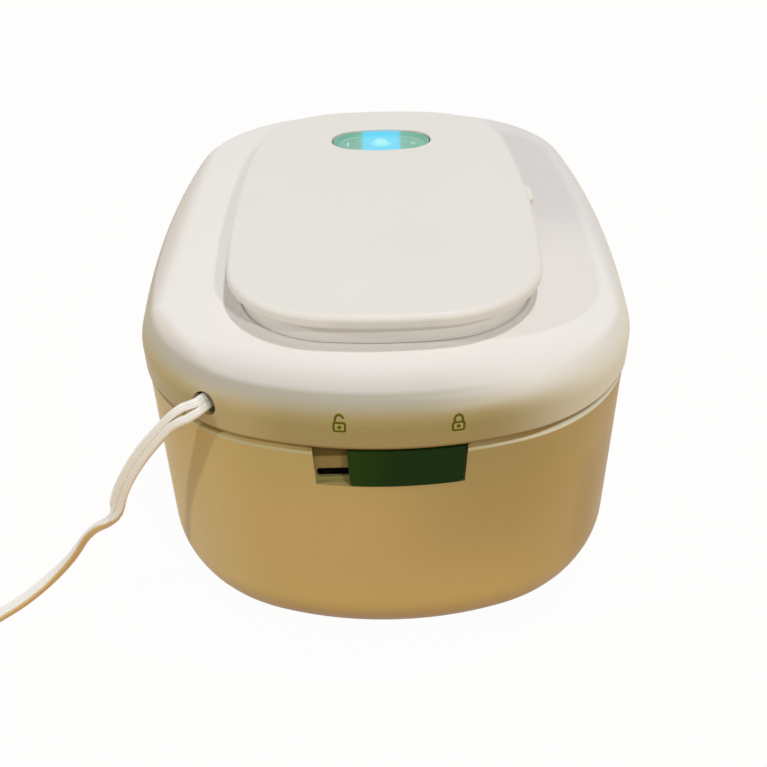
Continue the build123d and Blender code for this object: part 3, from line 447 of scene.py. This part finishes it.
# the tan is painted warm bounce light; the tints over it are painted shade and light
wall = tub_finish.fade(height, 0, 45, tub_warm_bounce_low, tub_warm_bounce)
wall = tub_finish.fade(height, 60, 86, wall, tub_shade_high)
wall = tub_finish.fade(across, 30, 72, wall, tub_shade_right, share=0.85)
wall = tub_finish.fade(across, 66, 72, wall, tub_edge_right_shade)
low_right_shade = tub_finish.span(across, 58, 68) * (1 - tub_finish.span(height, 62, 74))
wall = tub_finish.mix(low_right_shade, wall, tub_low_right_shade)
wall = tub_finish.fade(across, -36, -60, wall, tub_lit_left)
wall = tub_finish.fade(across, -62, -72, wall, tub_edge_left_shade)
# a painted shade dims the right of the tub's near end
dim_shade_right = tub_finish.span(across, -14, 30) * (1 - tub_finish.span(across, 36, 68))
dim_shade_right = dim_shade_right * tub_finish.span(height, 26, 66)
wall = tub_finish.mix(dim_shade_right * dim_shade_share, wall, painted_shade_dark)
wall = tub_finish.fade(height, 9, 26, tub_foot_warm_shade, wall)
print("nodes in the tub's wall:", len(tub_finish.tree.nodes))

# %% Painted highlight on the tub's rim chamfer, and the painted shadow line above it
rim_highlight = srgb(190, 184, 149)
rim_highlight_right = srgb(232, 232, 216)
rim_shade = srgb(158, 137, 80)
rim_shade_right = srgb(158, 131, 76)
rim_shade_left = srgb(182, 158, 98)
# at the far right the painted shadow line starts this much higher
shade_rise = 0.5 * MM

# a painted highlight on the rim's chamfer, which faces up
rim_highlight_band = tub_finish.fade(across, 10, 55, rim_highlight, rim_highlight_right)
wall = tub_finish.fade(height, 86.6, 87.3, wall, rim_highlight_band)
shade = tub_finish.fade(across, 16, 46, rim_shade, rim_shade_right)
shade = tub_finish.fade(across, -18, -36, shade, rim_shade_left)
shade_height = height - tub_finish.span(across, 36, 56) * shade_rise
wall = tub_finish.fade(shade_height, 87.8, 88.3, wall, shade)
print("nodes with the rim:", len(tub_finish.tree.nodes))

# %% Painted shade on the floor of the lock's pocket
pocket_top_shadow = srgb(88, 72, 12)
pocket_mid_shade = srgb(146, 126, 76)
pocket_low_shade = srgb(158, 152, 98)
pocket_middle = 0.4 * MM

depth = tub_finish.axis("Y")
from_pocket_middle = (across - pocket_middle).absolute()
in_pocket = tub_finish.span(depth, -122.9, -122.3) * (1 - tub_finish.span(depth, -116, -114))
in_pocket = in_pocket * (1 - tub_finish.span(from_pocket_middle, 22.9, 23.4))
in_pocket = in_pocket * tub_finish.span(height, 74.0, 74.4)
# painted shade on the pocket's floor, and a painted shadow under its top
pocket = tub_finish.fade(height, 77.0, 80.0, pocket_low_shade, pocket_mid_shade)
pocket = tub_finish.fade(height, 84.6, 85.6, pocket, pocket_top_shadow)
tub_finish.set(base_color=tub_finish.mix(in_pocket, wall, pocket))
moulded(tub_finish, 0.34, 0.44)
paint(tub_finish, "tub_shell")
print("nodes in the tub's finish:", len(tub_finish.tree.nodes))

# %% [markdown]
# ## The green slider
# The slide lock's knob is dark green plastic with hardly any shine. A dark colour shows every reflection, so
# the shader's specular level comes down, and the green is a touch lighter towards the left.

# %% Dark green plastic of the slide lock
lock_dark = srgb(25, 49, 16)
lock_light = srgb(37, 60, 13)

lock_finish = Finish("dark_green_plastic", specular_ior_level=0.05)
lock_finish.set(base_color=lock_finish.fade(lock_finish.axis("X"), -12, 4, lock_light, lock_dark))
moulded(lock_finish, 0.42, 0.54)
paint(lock_finish, "lock_slider")
print("slider painted with", lock_finish.material.name)

# %% [markdown]
# ## Inside the warmer
# Opening the lid or lifting the cover shows what the closed warmer hides: plain white inner plastics, black
# sliding pieces, soft silicone seals, rubber feet, screws, the heater's sheet with its amber film and felt,
# and the two boards. Each is a short finish: a cloudy colour, an uneven gloss and, where the real stuff has
# one, a relief at its own scale.

# %% Inner plastics, silicone and rubber
inner_finish = Finish("inner_plastic", ior=1.46)
cloudy(inner_finish, 40 * MM, srgb(224, 220, 210), srgb(232, 229, 221))
moulded(inner_finish, 0.4, 0.52)
paint(inner_finish, "tub_liner", "cover_pan", "dispenser_frame", "lid_inner", "cord_clamp")

slide_finish = Finish("black_slide_plastic", ior=1.46)
cloudy(slide_finish, 5 * MM, srgb(20, 18, 16), srgb(30, 28, 25))
moulded(slide_finish, 0.35, 0.5)
paint(slide_finish, "lock_carriage", "lock_guide")

silicone_finish = Finish("clear_silicone", ior=1.41, subsurface_weight=0.2)
cloudy(silicone_finish, 8 * MM, srgb(214, 213, 206), srgb(224, 223, 217))
uneven_gloss(silicone_finish, 3 * MM, 0.35, 0.55)
paint(silicone_finish, "cover_gasket", "dispenser_lips", "lid_seal")

rubber_finish = Finish("foot_rubber")
cloudy(rubber_finish, 3 * MM, srgb(48, 47, 45), srgb(60, 59, 56))
uneven_gloss(rubber_finish, 2 * MM, 0.6, 0.8)
rubber_finish.bump(rubber_finish.noise(0.4 * MM), 0.02 * MM)
paint(rubber_finish, "feet")
print("finishes with the soft ones:", len(bpy.data.materials))


# %% Metals
def metal(name, color, roughness, *pieces):
    """Sheet or drawn metal with a faint cloudy polish."""
    finish = Finish(name, metallic=1.0, base_color=color)
    uneven_gloss(finish, 2 * MM, roughness, roughness + 0.15)
    finish.bump(finish.noise(0.25 * MM), 0.004 * MM)
    paint(finish, *pieces)


metal("zinc_steel", srgb(190, 190, 188), 0.3, "tub_screws", "pan_screws", "plate_screws", "guide_screws")
metal("bright_steel", srgb(200, 199, 196), 0.25, "lid_screws", "hinge_pins", "catch_plate", "thermal_cutout")
metal("nickel", srgb(205, 203, 198), 0.15, "lid_magnet")
metal("aluminium_sheet", srgb(205, 206, 208), 0.35, "heater_plate")
metal("brass", srgb(205, 186, 132), 0.25, "plug_blades")
print("finishes with the metals:", len(bpy.data.materials))

# %% Film, felt and boards
film_finish = Finish("amber_film", coat_weight=0.4, roughness=0.3)
cloudy(film_finish, 6 * MM, srgb(176, 104, 38), srgb(198, 124, 50))
paint(film_finish, "heating_film")

felt_finish = Finish("grey_felt", roughness=0.95)
cloudy(felt_finish, 1.2 * MM, srgb(150, 150, 146), srgb(186, 186, 181), detail=4.0)
felt_finish.bump(felt_finish.noise(0.6 * MM, 4.0), 0.3 * MM)
paint(felt_finish, "insulation_pad")

board_finish = Finish("circuit_board", coat_weight=0.5, roughness=0.4)
cloudy(board_finish, 2.5 * MM, srgb(22, 74, 38), srgb(34, 96, 52))
paint(board_finish, "power_board", "control_board")
print("finishes so far:", len(bpy.data.materials))

# %% [markdown]
# ## The lit window
# Under the green lens sits a light guide that glows ice blue, with a pale cloud in its middle. The
# glow is soft-edged because the lens spreads it. It is painted into the lens's own emission with distances
# in the plane of the lens, so that it stays crisp at any size and needs no picture.

# %% Green lens with a painted highlight near its far edge
window_middle = (0.0, 50.0)
lens_green = srgb(130, 190, 172)
lens_deep = srgb(116, 174, 154)
lens_edge_highlight = srgb(206, 236, 224)

lens_finish = Finish(
    "green_lens", specular_ior_level=0.12, coat_weight=0.05, coat_roughness=0.05, emission_strength=1.0,
)
lens_across = lens_finish.axis("X")
lens_along = lens_finish.axis("Y")


def oval_reach(middle, half_x, half_y):
    """0 at a place on the lens and 1 on an oval of these half sizes around it, in millimetres."""
    off_x = (lens_across - middle[0] * MM) * (1 / (half_x * MM))
    off_y = (lens_along - middle[1] * MM) * (1 / (half_y * MM))
    return off_x * off_x + off_y * off_y


# a thin painted highlight follows an oval just inside the lens's far edge
reach = oval_reach(window_middle, 19.2, 9.6)
far_highlight_line = lens_finish.ramp(reach, 0.86, 0.94) * (1 - lens_finish.ramp(reach, 0.96, 1.04))
far_highlight_line = far_highlight_line * lens_finish.span(lens_along, 53, 56)
green = lens_finish.mix(lens_finish.noise(9 * MM), lens_deep, lens_green)
green = lens_finish.mix(far_highlight_line * 0.6, green, lens_edge_highlight)
print("nodes in the lens so far:", len(lens_finish.tree.nodes))

# %% Blue block and pale cloud that light the lens
lit_half = 7.8
lit_base = srgb(70, 150, 170)
glow_blue = srgb(110, 214, 246)
cloud_pale = srgb(146, 198, 192)
unlit = srgb(0, 0, 0)

from_middle = lens_across.absolute()
lit = 1 - lens_finish.span(from_middle, lit_half - 0.8, lit_half + 1.3)
spill = 1 - lens_finish.span(from_middle, lit_half - 1.0, lit_half + 5.0)
glow = lens_finish.mix((lit * 0.48 + spill * 0.08).clamped(), unlit, glow_blue)


def glow_spot(middle, half_x, half_y):
    """A soft spot of light on the lens, in millimetres."""
    return 1 - lens_finish.ramp(oval_reach(middle, half_x, half_y), 0.25, 1.25)


cloud = glow_spot((0.0, 50.2), 4.6, 4.4) + glow_spot((-0.3, 53.0), 2.9, 4.0)
lens_finish.set(base_color=lens_finish.mix(lit, green, lit_base))
lens_finish.set(emission_color=lens_finish.mix((cloud * 0.70).clamped(), glow, cloud_pale))
uneven_gloss(lens_finish, 6 * MM, 0.12, 0.20)
paint(lens_finish, "panel_lens")

guide_finish = Finish("lit_light_guide", emission_color=glow_blue, emission_strength=0.8, roughness=0.3)
cloudy(guide_finish, 5 * MM, srgb(170, 226, 244), srgb(196, 236, 248))
paint(guide_finish, "light_guide")
print("nodes in the lens's finish:", len(lens_finish.tree.nodes))

# %% [markdown]
# ## The lead as a flat twin cord
# Two conductors lie side by side in one white jacket: a flat ribbon with fine ribs drawn along it. Each half
# is a tube of rings around the shared line, flat towards the other half and round on its outer edge. A roll
# angle turns the pair along the way, and near the hole the two stand apart, where the web has been slit. The
# lower edge of the first stretch carries a painted warm shade: a number on each corner says how much, and the
# jacket's shader reads it.

# %% Outline of one half of the lead
half_width = 2.68
half_thick = 1.28
rib_pitch = 0.86
rib_depth = 0.13
steps_per_rib = 4
edge_angles = (-60, -36, -12, 12, 36, 60)


def half_section():
    """One half's outline, in millimetres from the pair's middle outwards, ribbed on both wide faces."""
    flat_end = half_width - half_thick
    outer = [
        (flat_end + half_thick * math.cos(math.radians(angle)), half_thick * math.sin(math.radians(angle)))
        for angle in edge_angles
    ]
    upper = []
    for step in range(9, 0, -1):
        reach = step * rib_pitch / steps_per_rib
        bulge = max(reach - flat_end, 0)
        rib = rib_depth * (0.5 - 0.5 * math.cos(2 * math.pi * reach / rib_pitch))
        upper.append((reach, math.sqrt(half_thick**2 - bulge**2) - rib))
    inner = [(0.05, half_thick - 0.08), (0.0, half_thick - 0.3)]
    lower = [(reach, -rise) for reach, rise in reversed(upper + inner)]
    return outer + upper + inner + lower


section = half_section()
ring_sides = len(section)
print("corners round each half:", ring_sides)

# %% Frames along the lead
# how far the pair is rolled about the line, in degrees, at these distances along it in metres: its wide face
# shows from the hole to the kink, where it turns on edge, and from there it lies flat on its way to the floor
roll_keys = [
    (0.000, 124.0), (0.007, 122.0), (0.0165, 112.0), (0.0298, 92.0), (0.0464, 71.0), (0.056, 58.0),
    (0.0644, 60.0), (0.073, 150.0), (0.080, 183.0), (0.095, 180.0), (0.200, 180.0), (0.240, 90.0),
]


def frames_along(line):
    """At each point: the point, its distance from the start, and two sideways directions."""
    frames = []
    travelled = 0.0
    for index, point in enumerate(line):
        ahead = line[min(index + 1, len(line) - 1)] - line[max(index - 1, 0)]
        along_line = ahead.normalized()
        level = Vector((0, 0, 1)).cross(along_line).normalized()
        if index:
            travelled += (point - line[index - 1]).length
        frames.append((point, travelled, level, along_line.cross(level)))
    return frames


def roll_at(travelled):
    """The roll in radians at a distance along the lead."""
    distances, angles = zip(*roll_keys)
    return math.radians(float(np.interp(travelled, distances, angles)))


print("roll at the hole:", round(math.degrees(roll_at(0.0))), "degrees")

# %% Rings and painted warm shade of each half
slit_gap = 0.55 * MM
slit_start = 0.5 * MM
slit_peak = 5.0 * MM
slit_end = 12.0 * MM
# the painted shade's strength at these distances along the lead, in metres
shade_places = (0.004, 0.012, 0.19, 0.24)
shade_levels = (0.2, 1, 1, 0)
# the share of the half's width that stays bare of the painted shade, which is less once the ribbon lies flat
bare_places = (0.06, 0.08)
bare_shares = (0.8, 0.575)
shade_slope = 4


def core_rings(line, side, within=0.0):
    """The rings of one conductor on one side of the pair; within is the length that lies inside the cover."""
    rings = []
    for point, travelled, level, above in frames_along(line):
        outside = max(travelled - within, 0)
        roll = roll_at(outside)
        sideways = (math.cos(roll) * level + math.sin(roll) * above) * side
        through = math.cos(roll) * above - math.sin(roll) * level
        gap = slit_gap * float(np.interp(outside, (slit_start, slit_peak, slit_end), (0, 1, 0)))
        ring = [
            point + sideways * (gap + reach * MM) + through * (rise * MM)
            for reach, rise in section[::side]
        ]
        rings.append(ring)
    return rings


def edge_shades(line, within=0.0):
    """How much painted warm shade each corner takes: full on the outer edge of the lower half, none past the
    first stretch.
    """
    tints = []
    for side in (-1, 1):
        for _, travelled, _, _ in frames_along(line):
            outside = travelled - within
            level = float(np.interp(outside, shade_places, shade_levels))
            bare = float(np.interp(outside, bare_places, bare_shares))
            for reach, _ in section[::side]:
                warm = min(1, max(0, shade_slope * (reach / half_width - bare)))
                tints.append(level * warm if side < 0 else 0.0)
    return tints


print("the slit is", round((slit_end - slit_start) / MM, 1), "mm long")


# %% Both halves as one mesh
def tube_mesh(name, line, within=0.0):
    """A closed tube for each half of the lead along a line, with the painted shade on its corners."""
    tubes = [core_rings(line, side, within) for side in (-1, 1)]
    corners = [corner for tube in tubes for ring in tube for corner in ring]
    faces = []
    start = 0
    for tube in tubes:
        for step in range(len(tube) - 1):
            first = start + step * ring_sides
            for side in range(ring_sides):
                after = (side + 1) % ring_sides
                ahead = first + ring_sides
                faces.append((first + side, first + after, ahead + after, ahead + side))
        end = start + (len(tube) - 1) * ring_sides
        faces.append(tuple(reversed(range(start, start + ring_sides))))
        faces.append(tuple(range(end, end + ring_sides)))
        start += len(tube) * ring_sides
    mesh = bpy.data.meshes.new(name)
    mesh.from_pydata(corners, [], faces)
    underside_shade = mesh.attributes.new("underside_shade", "FLOAT", "POINT")
    underside_shade.data.foreach_set("value", edge_shades(line, within))
    mesh.shade_smooth()
    piece = bpy.data.objects.new(name, mesh)
    bpy.context.scene.collection.objects.link(piece)
    return piece


# from the hole the lead runs on inside the cover, in this direction, to these depths in millimetres
into_cover = Vector((0.5554, 0.8316, 0.0)) * MM
inner_depths = (15.9, 8.0, 0.0, -0.5)
all_inside = 1.0

mouth = lead_line[0]
lead = tube_mesh("mains_lead", lead_line)
inner_line = [mouth + into_cover * depth_inside for depth_inside in inner_depths]
inner_lead = tube_mesh("inner_lead", inner_line, all_inside)
print("corners of the lead's mesh:", len(lead.data.vertices))

# %% White jacket of the lead
jacket_warm_shade = srgb(198, 154, 62)

jacket_finish = Finish("white_cord_jacket", ior=1.5, coat_weight=0.2, coat_roughness=0.2)
jacket = jacket_finish.mix(jacket_finish.noise(12 * MM), srgb(236, 233, 228), srgb(244, 242, 238))
underside_shade = jacket_finish.node("ShaderNodeAttribute", {"attribute_name": "underside_shade"}, output="Fac")
# painted warm shade on the lead's lower edge, by the number on each corner
jacket_finish.set(base_color=jacket_finish.mix(underside_shade * 0.9, jacket, jacket_warm_shade))
uneven_gloss(jacket_finish, 4 * MM, 0.3, 0.45)
jacket_finish.bump(jacket_finish.noise(1.5 * MM), 0.004 * MM)
paint(jacket_finish, "plug_body")
for cord in (lead, inner_lead):
    cord.data.materials.append(jacket_finish.material)
print("jacket on", lead.name, "and", inner_lead.name)

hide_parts("cord_tube", "cord_coil", "cord_tail")
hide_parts("cord_lead")
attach(inner_lead, "cover")
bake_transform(lead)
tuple(mouth)
print("rings on the lead:", len(lead_line))

# %% [markdown]
# ## Printed signs
# Two padlocks are printed on the cover above the slide lock, open on the left and closed on the right. Each
# is drawn flat as strokes and discs, then laid on the cover by casting every corner along Y onto the shell,
# with a hair's breadth of ink standing proud. Real thin geometry keeps its edge at any distance, which a
# painted mask on such a large shell wouldn't.


# %% Drawn outlines
def arc(centre, radius, start, end, steps=14):
    """Points on an arc, angles in degrees."""
    angles = [math.radians(start + (end - start) * step / steps) for step in range(steps + 1)]
    return [(centre[0] + radius * math.cos(angle), centre[1] + radius * math.sin(angle)) for angle in angles]


def rounded_box(half_x, half_y, corner, steps=5):
    """The outline of a box with round corners, about the middle."""
    points = []
    for quarter, (side_x, side_y) in enumerate([(1, 1), (-1, 1), (-1, -1), (1, -1)]):
        centre = (side_x * (half_x - corner), side_y * (half_y - corner))
        points += arc(centre, corner, quarter * 90, quarter * 90 + 90, steps)
    return points


def finely(outline, pace=0.3):
    """A closed outline with points added, so that no stretch of it is longer than the pace."""
    points = []
    for start, end in zip(outline, outline[1:] + outline[:1]):
        parts = max(1, math.ceil(math.dist(start, end) / pace))
        points += [
            (start[0] + (end[0] - start[0]) * part / parts, start[1] + (end[1] - start[1]) * part / parts)
            for part in range(parts)
        ]
    return points


print("points on a fine 2 mm box:", len(finely(rounded_box(1.0, 1.0, 0.2))))


# %% Bands of ink from the outlines
def stroke(points, width, closed=False):
    """A band of this width along a drawn line, as pairs of corners."""
    count = len(points)
    pairs = []
    for index, (x, y) in enumerate(points):
        before = points[index - 1] if index or closed else points[index]
        after = points[(index + 1) % count] if index + 1 < count or closed else points[index]
        run = Vector((after[0] - before[0], after[1] - before[1])).normalized()
        side = Vector((-run.y, run.x)) * width / 2
        pairs.append(((x - side.x, y - side.y), (x + side.x, y + side.y)))
    return pairs, closed


def filled(outline):
    """A filled outline, as a band from its middle."""
    middle = (sum(x for x, _ in outline) / len(outline), sum(y for _, y in outline) / len(outline))
    return [(middle, point) for point in outline], True


def disc(radius, steps=20):
    """A filled disc about the middle, as a band from its middle to its rim."""
    rim = arc((0, 0), radius, 0, 360, steps)[:-1]
    return [((0, 0), point) for point in rim], True


print("pairs on a disc:", len(disc(1.0)[0]))

# %% Thin pieces of ink
ink_height = 0.05 * MM
ink_root = 0.03 * MM


def ink_piece(name, bands, place, finish):
    """One thin piece on the cover from bands of drawn corners; place puts a corner at a height over it."""
    corners, faces = [], []
    for pairs, closed in bands:
        first = len(corners)
        for inner, outer in pairs:
            corners += [place(inner, -ink_root), place(outer, -ink_root)]
            corners += [place(outer, ink_height), place(inner, ink_height)]
        last = len(pairs) if closed else len(pairs) - 1
        for step in range(last):
            here = first + 4 * step
            there = first + 4 * ((step + 1) % len(pairs))
            for edge in range(4):
                after = (edge + 1) % 4
                faces.append((here + edge, here + after, there + after, there + edge))
        if not closed:
            faces.append((first, first + 3, first + 2, first + 1))
            end = first + 4 * (len(pairs) - 1)
            faces.append((end, end + 1, end + 2, end + 3))
    mesh = bpy.data.meshes.new(name)
    mesh.from_pydata(corners, [], faces)
    mesh.validate()
    mesh.materials.append(finish.material)
    piece = bpy.data.objects.new(name, mesh)
    bpy.context.scene.collection.objects.link(piece)
    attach(piece, "cover")
    print(name, "has", len(mesh.polygons), "faces")


# %% Laying ink on the cover's near end
cover_mesh = nodes["cover_shell"].data
cover_tree = BVHTree.FromPolygons(
    [vertex.co for vertex in cover_mesh.vertices],
    [face.vertices for face in cover_mesh.polygons],
)
well_in_front = -200.0


def on_cover(middle, share=1.0):
    """Puts drawn millimetres on the cover about a middle given as X and Z, at a share of each height."""

    def place(point, height):
        start = Vector((middle[0] + point[0], well_in_front, middle[1] + point[1])) * MM
        hit, normal, _, _ = cover_tree.ray_cast(start, Vector((0, 1, 0)))
        return hit + normal * (height * share)

    return place


print("faces to cast on:", len(cover_mesh.polygons))

# %% Padlocks on the cover
sign_spots = {"open": (-14.1, 98.3), "closed": (20.2, 97.3)}
lock_half_x = 1.62
lock_half_y = 1.35
lock_corner = 0.4
line_width = 0.68
shackle_radius = 1.18
shackle_rise = 1.0
keyhole_radius = 0.64
open_gap_angle = 12
fill_inset = 0.3
fill_corner = 0.2
fill_share = 0.4

ink_finish = Finish("olive_ink", roughness=0.5, specular_ior_level=0.1)
cloudy(ink_finish, 0.8 * MM, srgb(88, 82, 4), srgb(100, 94, 8))
pale_finish = Finish("pale_olive_ink", roughness=0.5, specular_ior_level=0.15)
cloudy(pale_finish, 0.8 * MM, srgb(170, 162, 100), srgb(182, 174, 114))

keyhole = disc(keyhole_radius)
lock_outline = stroke(finely(rounded_box(lock_half_x, lock_half_y, lock_corner)), line_width, closed=True)
lock_fill = filled(finely(rounded_box(lock_half_x - fill_inset, lock_half_y - fill_inset, fill_corner)))
for state, spot in sign_spots.items():
    closed_lock = state == "closed"
    near_leg = [(shackle_radius, lock_half_y)] if closed_lock else []
    arch_start = 0 if closed_lock else open_gap_angle
    arch = arc((0, lock_half_y + shackle_rise), shackle_radius, arch_start, 180)
    shackle = stroke(near_leg + arch + [(-shackle_radius, lock_half_y)], line_width)
    ink_piece(f"padlock_{state}", [lock_outline, shackle, keyhole], on_cover(spot), ink_finish)
    ink_piece(f"padlock_{state}_fill", [lock_fill], on_cover(spot, fill_share), pale_finish)

# %% [markdown]
# ## Lit signs in the window
# Beside the lit block the window shows a small tick on the left and a small cross on the right. They are
# strokes of the same kind as the padlocks, laid flat on the lens a little below its rim, and a faint glow of
# their own keeps them readable in the green.

# %% Tick and cross on the lens
dish_depth = 1.1 * MM
sign_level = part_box("panel_lens")[1].z - dish_depth


def on_lens(middle):
    """Puts drawn millimetres flat on the lens about a middle given as X and Y."""

    def place(point, height):
        drawn_x, drawn_y = middle[0] + point[0], middle[1] + point[1]
        return Vector((drawn_x * MM, drawn_y * MM, sign_level + height))

    return place


sign_glow = srgb(230, 255, 250)
tick_middle = (-14.2, 49.4)
cross_middle = (13.5, 49.6)
tick = stroke([(0.25, 2.2), (-0.1, 0.0), (0.15, -2.2)], 0.6)
cross = [stroke([(-1.0, 1.4), (1.0, -1.4)], 0.4), stroke([(-1.0, -1.4), (1.0, 1.4)], 0.4)]

glow_finish = Finish("white_sign_light", emission_color=sign_glow, emission_strength=0.08, roughness=0.4)
cloudy(glow_finish, 1 * MM, srgb(182, 216, 206), srgb(196, 226, 217))
ink_piece("tick_sign", [tick], on_lens(tick_middle), glow_finish)
ink_piece("cross_sign", cross, on_lens(cross_middle), glow_finish)

# %% [markdown]
# ## Studio
# Three small soft lamps and a dim, slightly warm world light the object. The floor is warm to the light that
# it throws back and white to the camera, through Light Path, and so is the world, so the object stands on a
# clean pale sheet. Metal, glass and gloss see that white too, and a part of the object's shadow is kept.

# %% Lamps
lamp_target = Vector((0, 0, 0.06))


def lamp(name, place, size, power, color):
    """A square soft lamp that faces the object."""
    light = bpy.data.lights.new(name, "AREA")
    light.size = size
    light.energy = power
    light.color = color
    holder = bpy.data.objects.new(name, light)
    bpy.context.scene.collection.objects.link(holder)
    holder.location = place
    holder.rotation_mode = "QUATERNION"
    holder.rotation_quaternion = (lamp_target - Vector(place)).to_track_quat("-Z", "Y")


lamp("top_lamp", (0.28, 0.00, 1.62), 0.10, 8.8, (0.97, 0.98, 1.0))
lamp("right_lamp", (0.60, -1.09, 1.07), 0.09, 6.2, (1.0, 0.98, 0.95))
lamp("left_lamp", (-1.33, -0.46, 0.82), 0.07, 5.6, (0.93, 0.96, 1.0))
print("lamps:", len(bpy.data.lights))


# %% World: dim and warm as light, white as the background
def background_rays(tree):
    """1 for the rays that show the background: from the camera, and by way of metal and glass."""
    rays = tree.nodes.new("ShaderNodeLightPath")
    kinds = ["Is Camera Ray", "Is Glossy Ray", "Is Transmission Ray"]
    camera_rays, glossy_rays, transmission_rays = [Link(tree, rays.outputs[kind]) for kind in kinds]
    return camera_rays.at_least(glossy_rays).at_least(transmission_rays)


sky_color = (1.0, 0.975, 0.90, 1)
sky_strength = 0.37
plain_white = (1.0, 1.0, 1.0, 1)

world = bpy.data.worlds.new("studio")
bpy.context.scene.world = world
world.use_nodes = True
sky = world.node_tree
sky_light = sky.nodes["Background"]
sky_light.inputs["Color"].default_value = sky_color
sky_light.inputs["Strength"].default_value = sky_strength
sky_white = sky.nodes.new("ShaderNodeBackground")
sky_white.inputs["Color"].default_value = plain_white
sky_white.inputs["Strength"].default_value = 1.0
sky_mix = sky.nodes.new("ShaderNodeMixShader")
sky.links.new(background_rays(sky).socket, sky_mix.inputs[0])
sky.links.new(sky_light.outputs[0], sky_mix.inputs[1])
sky.links.new(sky_white.outputs[0], sky_mix.inputs[2])
sky.links.new(sky_mix.outputs[0], sky.nodes["World Output"].inputs["Surface"])
print("nodes in the world:", len(sky.nodes))

# %% Floor
floor_half = 6.0
floor_warm = srgb(230, 203, 160)
floor_white_share = 0.97

corner_sides = [(-1, -1), (1, -1), (1, 1), (-1, 1)]
floor_corners = [(side_x * floor_half, side_y * floor_half, 0) for side_x, side_y in corner_sides]
floor_mesh = bpy.data.meshes.new("floor")
floor_mesh.from_pydata(floor_corners, [], [(0, 1, 2, 3)])
floor = bpy.data.objects.new("floor", floor_mesh)
bpy.context.scene.collection.objects.link(floor)

floor_finish = Finish("pale_floor", roughness=0.9, base_color=floor_warm)
white_factor = background_rays(floor_finish.tree) * floor_white_share
white_light = floor_finish.node("ShaderNodeEmission", sockets={"Color": plain_white, "Strength": 1.0})
floor_shader = Link(floor_finish.tree, floor_finish.shader.outputs[0])
floor_parts = {0: white_factor, 1: floor_shader, 2: white_light}
floor_mix = floor_finish.node("ShaderNodeMixShader", sockets=floor_parts)
floor_surface = floor_finish.tree.nodes["Material Output"].inputs["Surface"]
floor_finish.tree.links.new(floor_mix.socket, floor_surface)
floor_mesh.materials.append(floor_finish.material)

bpy.context.scene.view_settings.view_transform = "Standard"
print("floor:", floor_half * 2, "m wide")
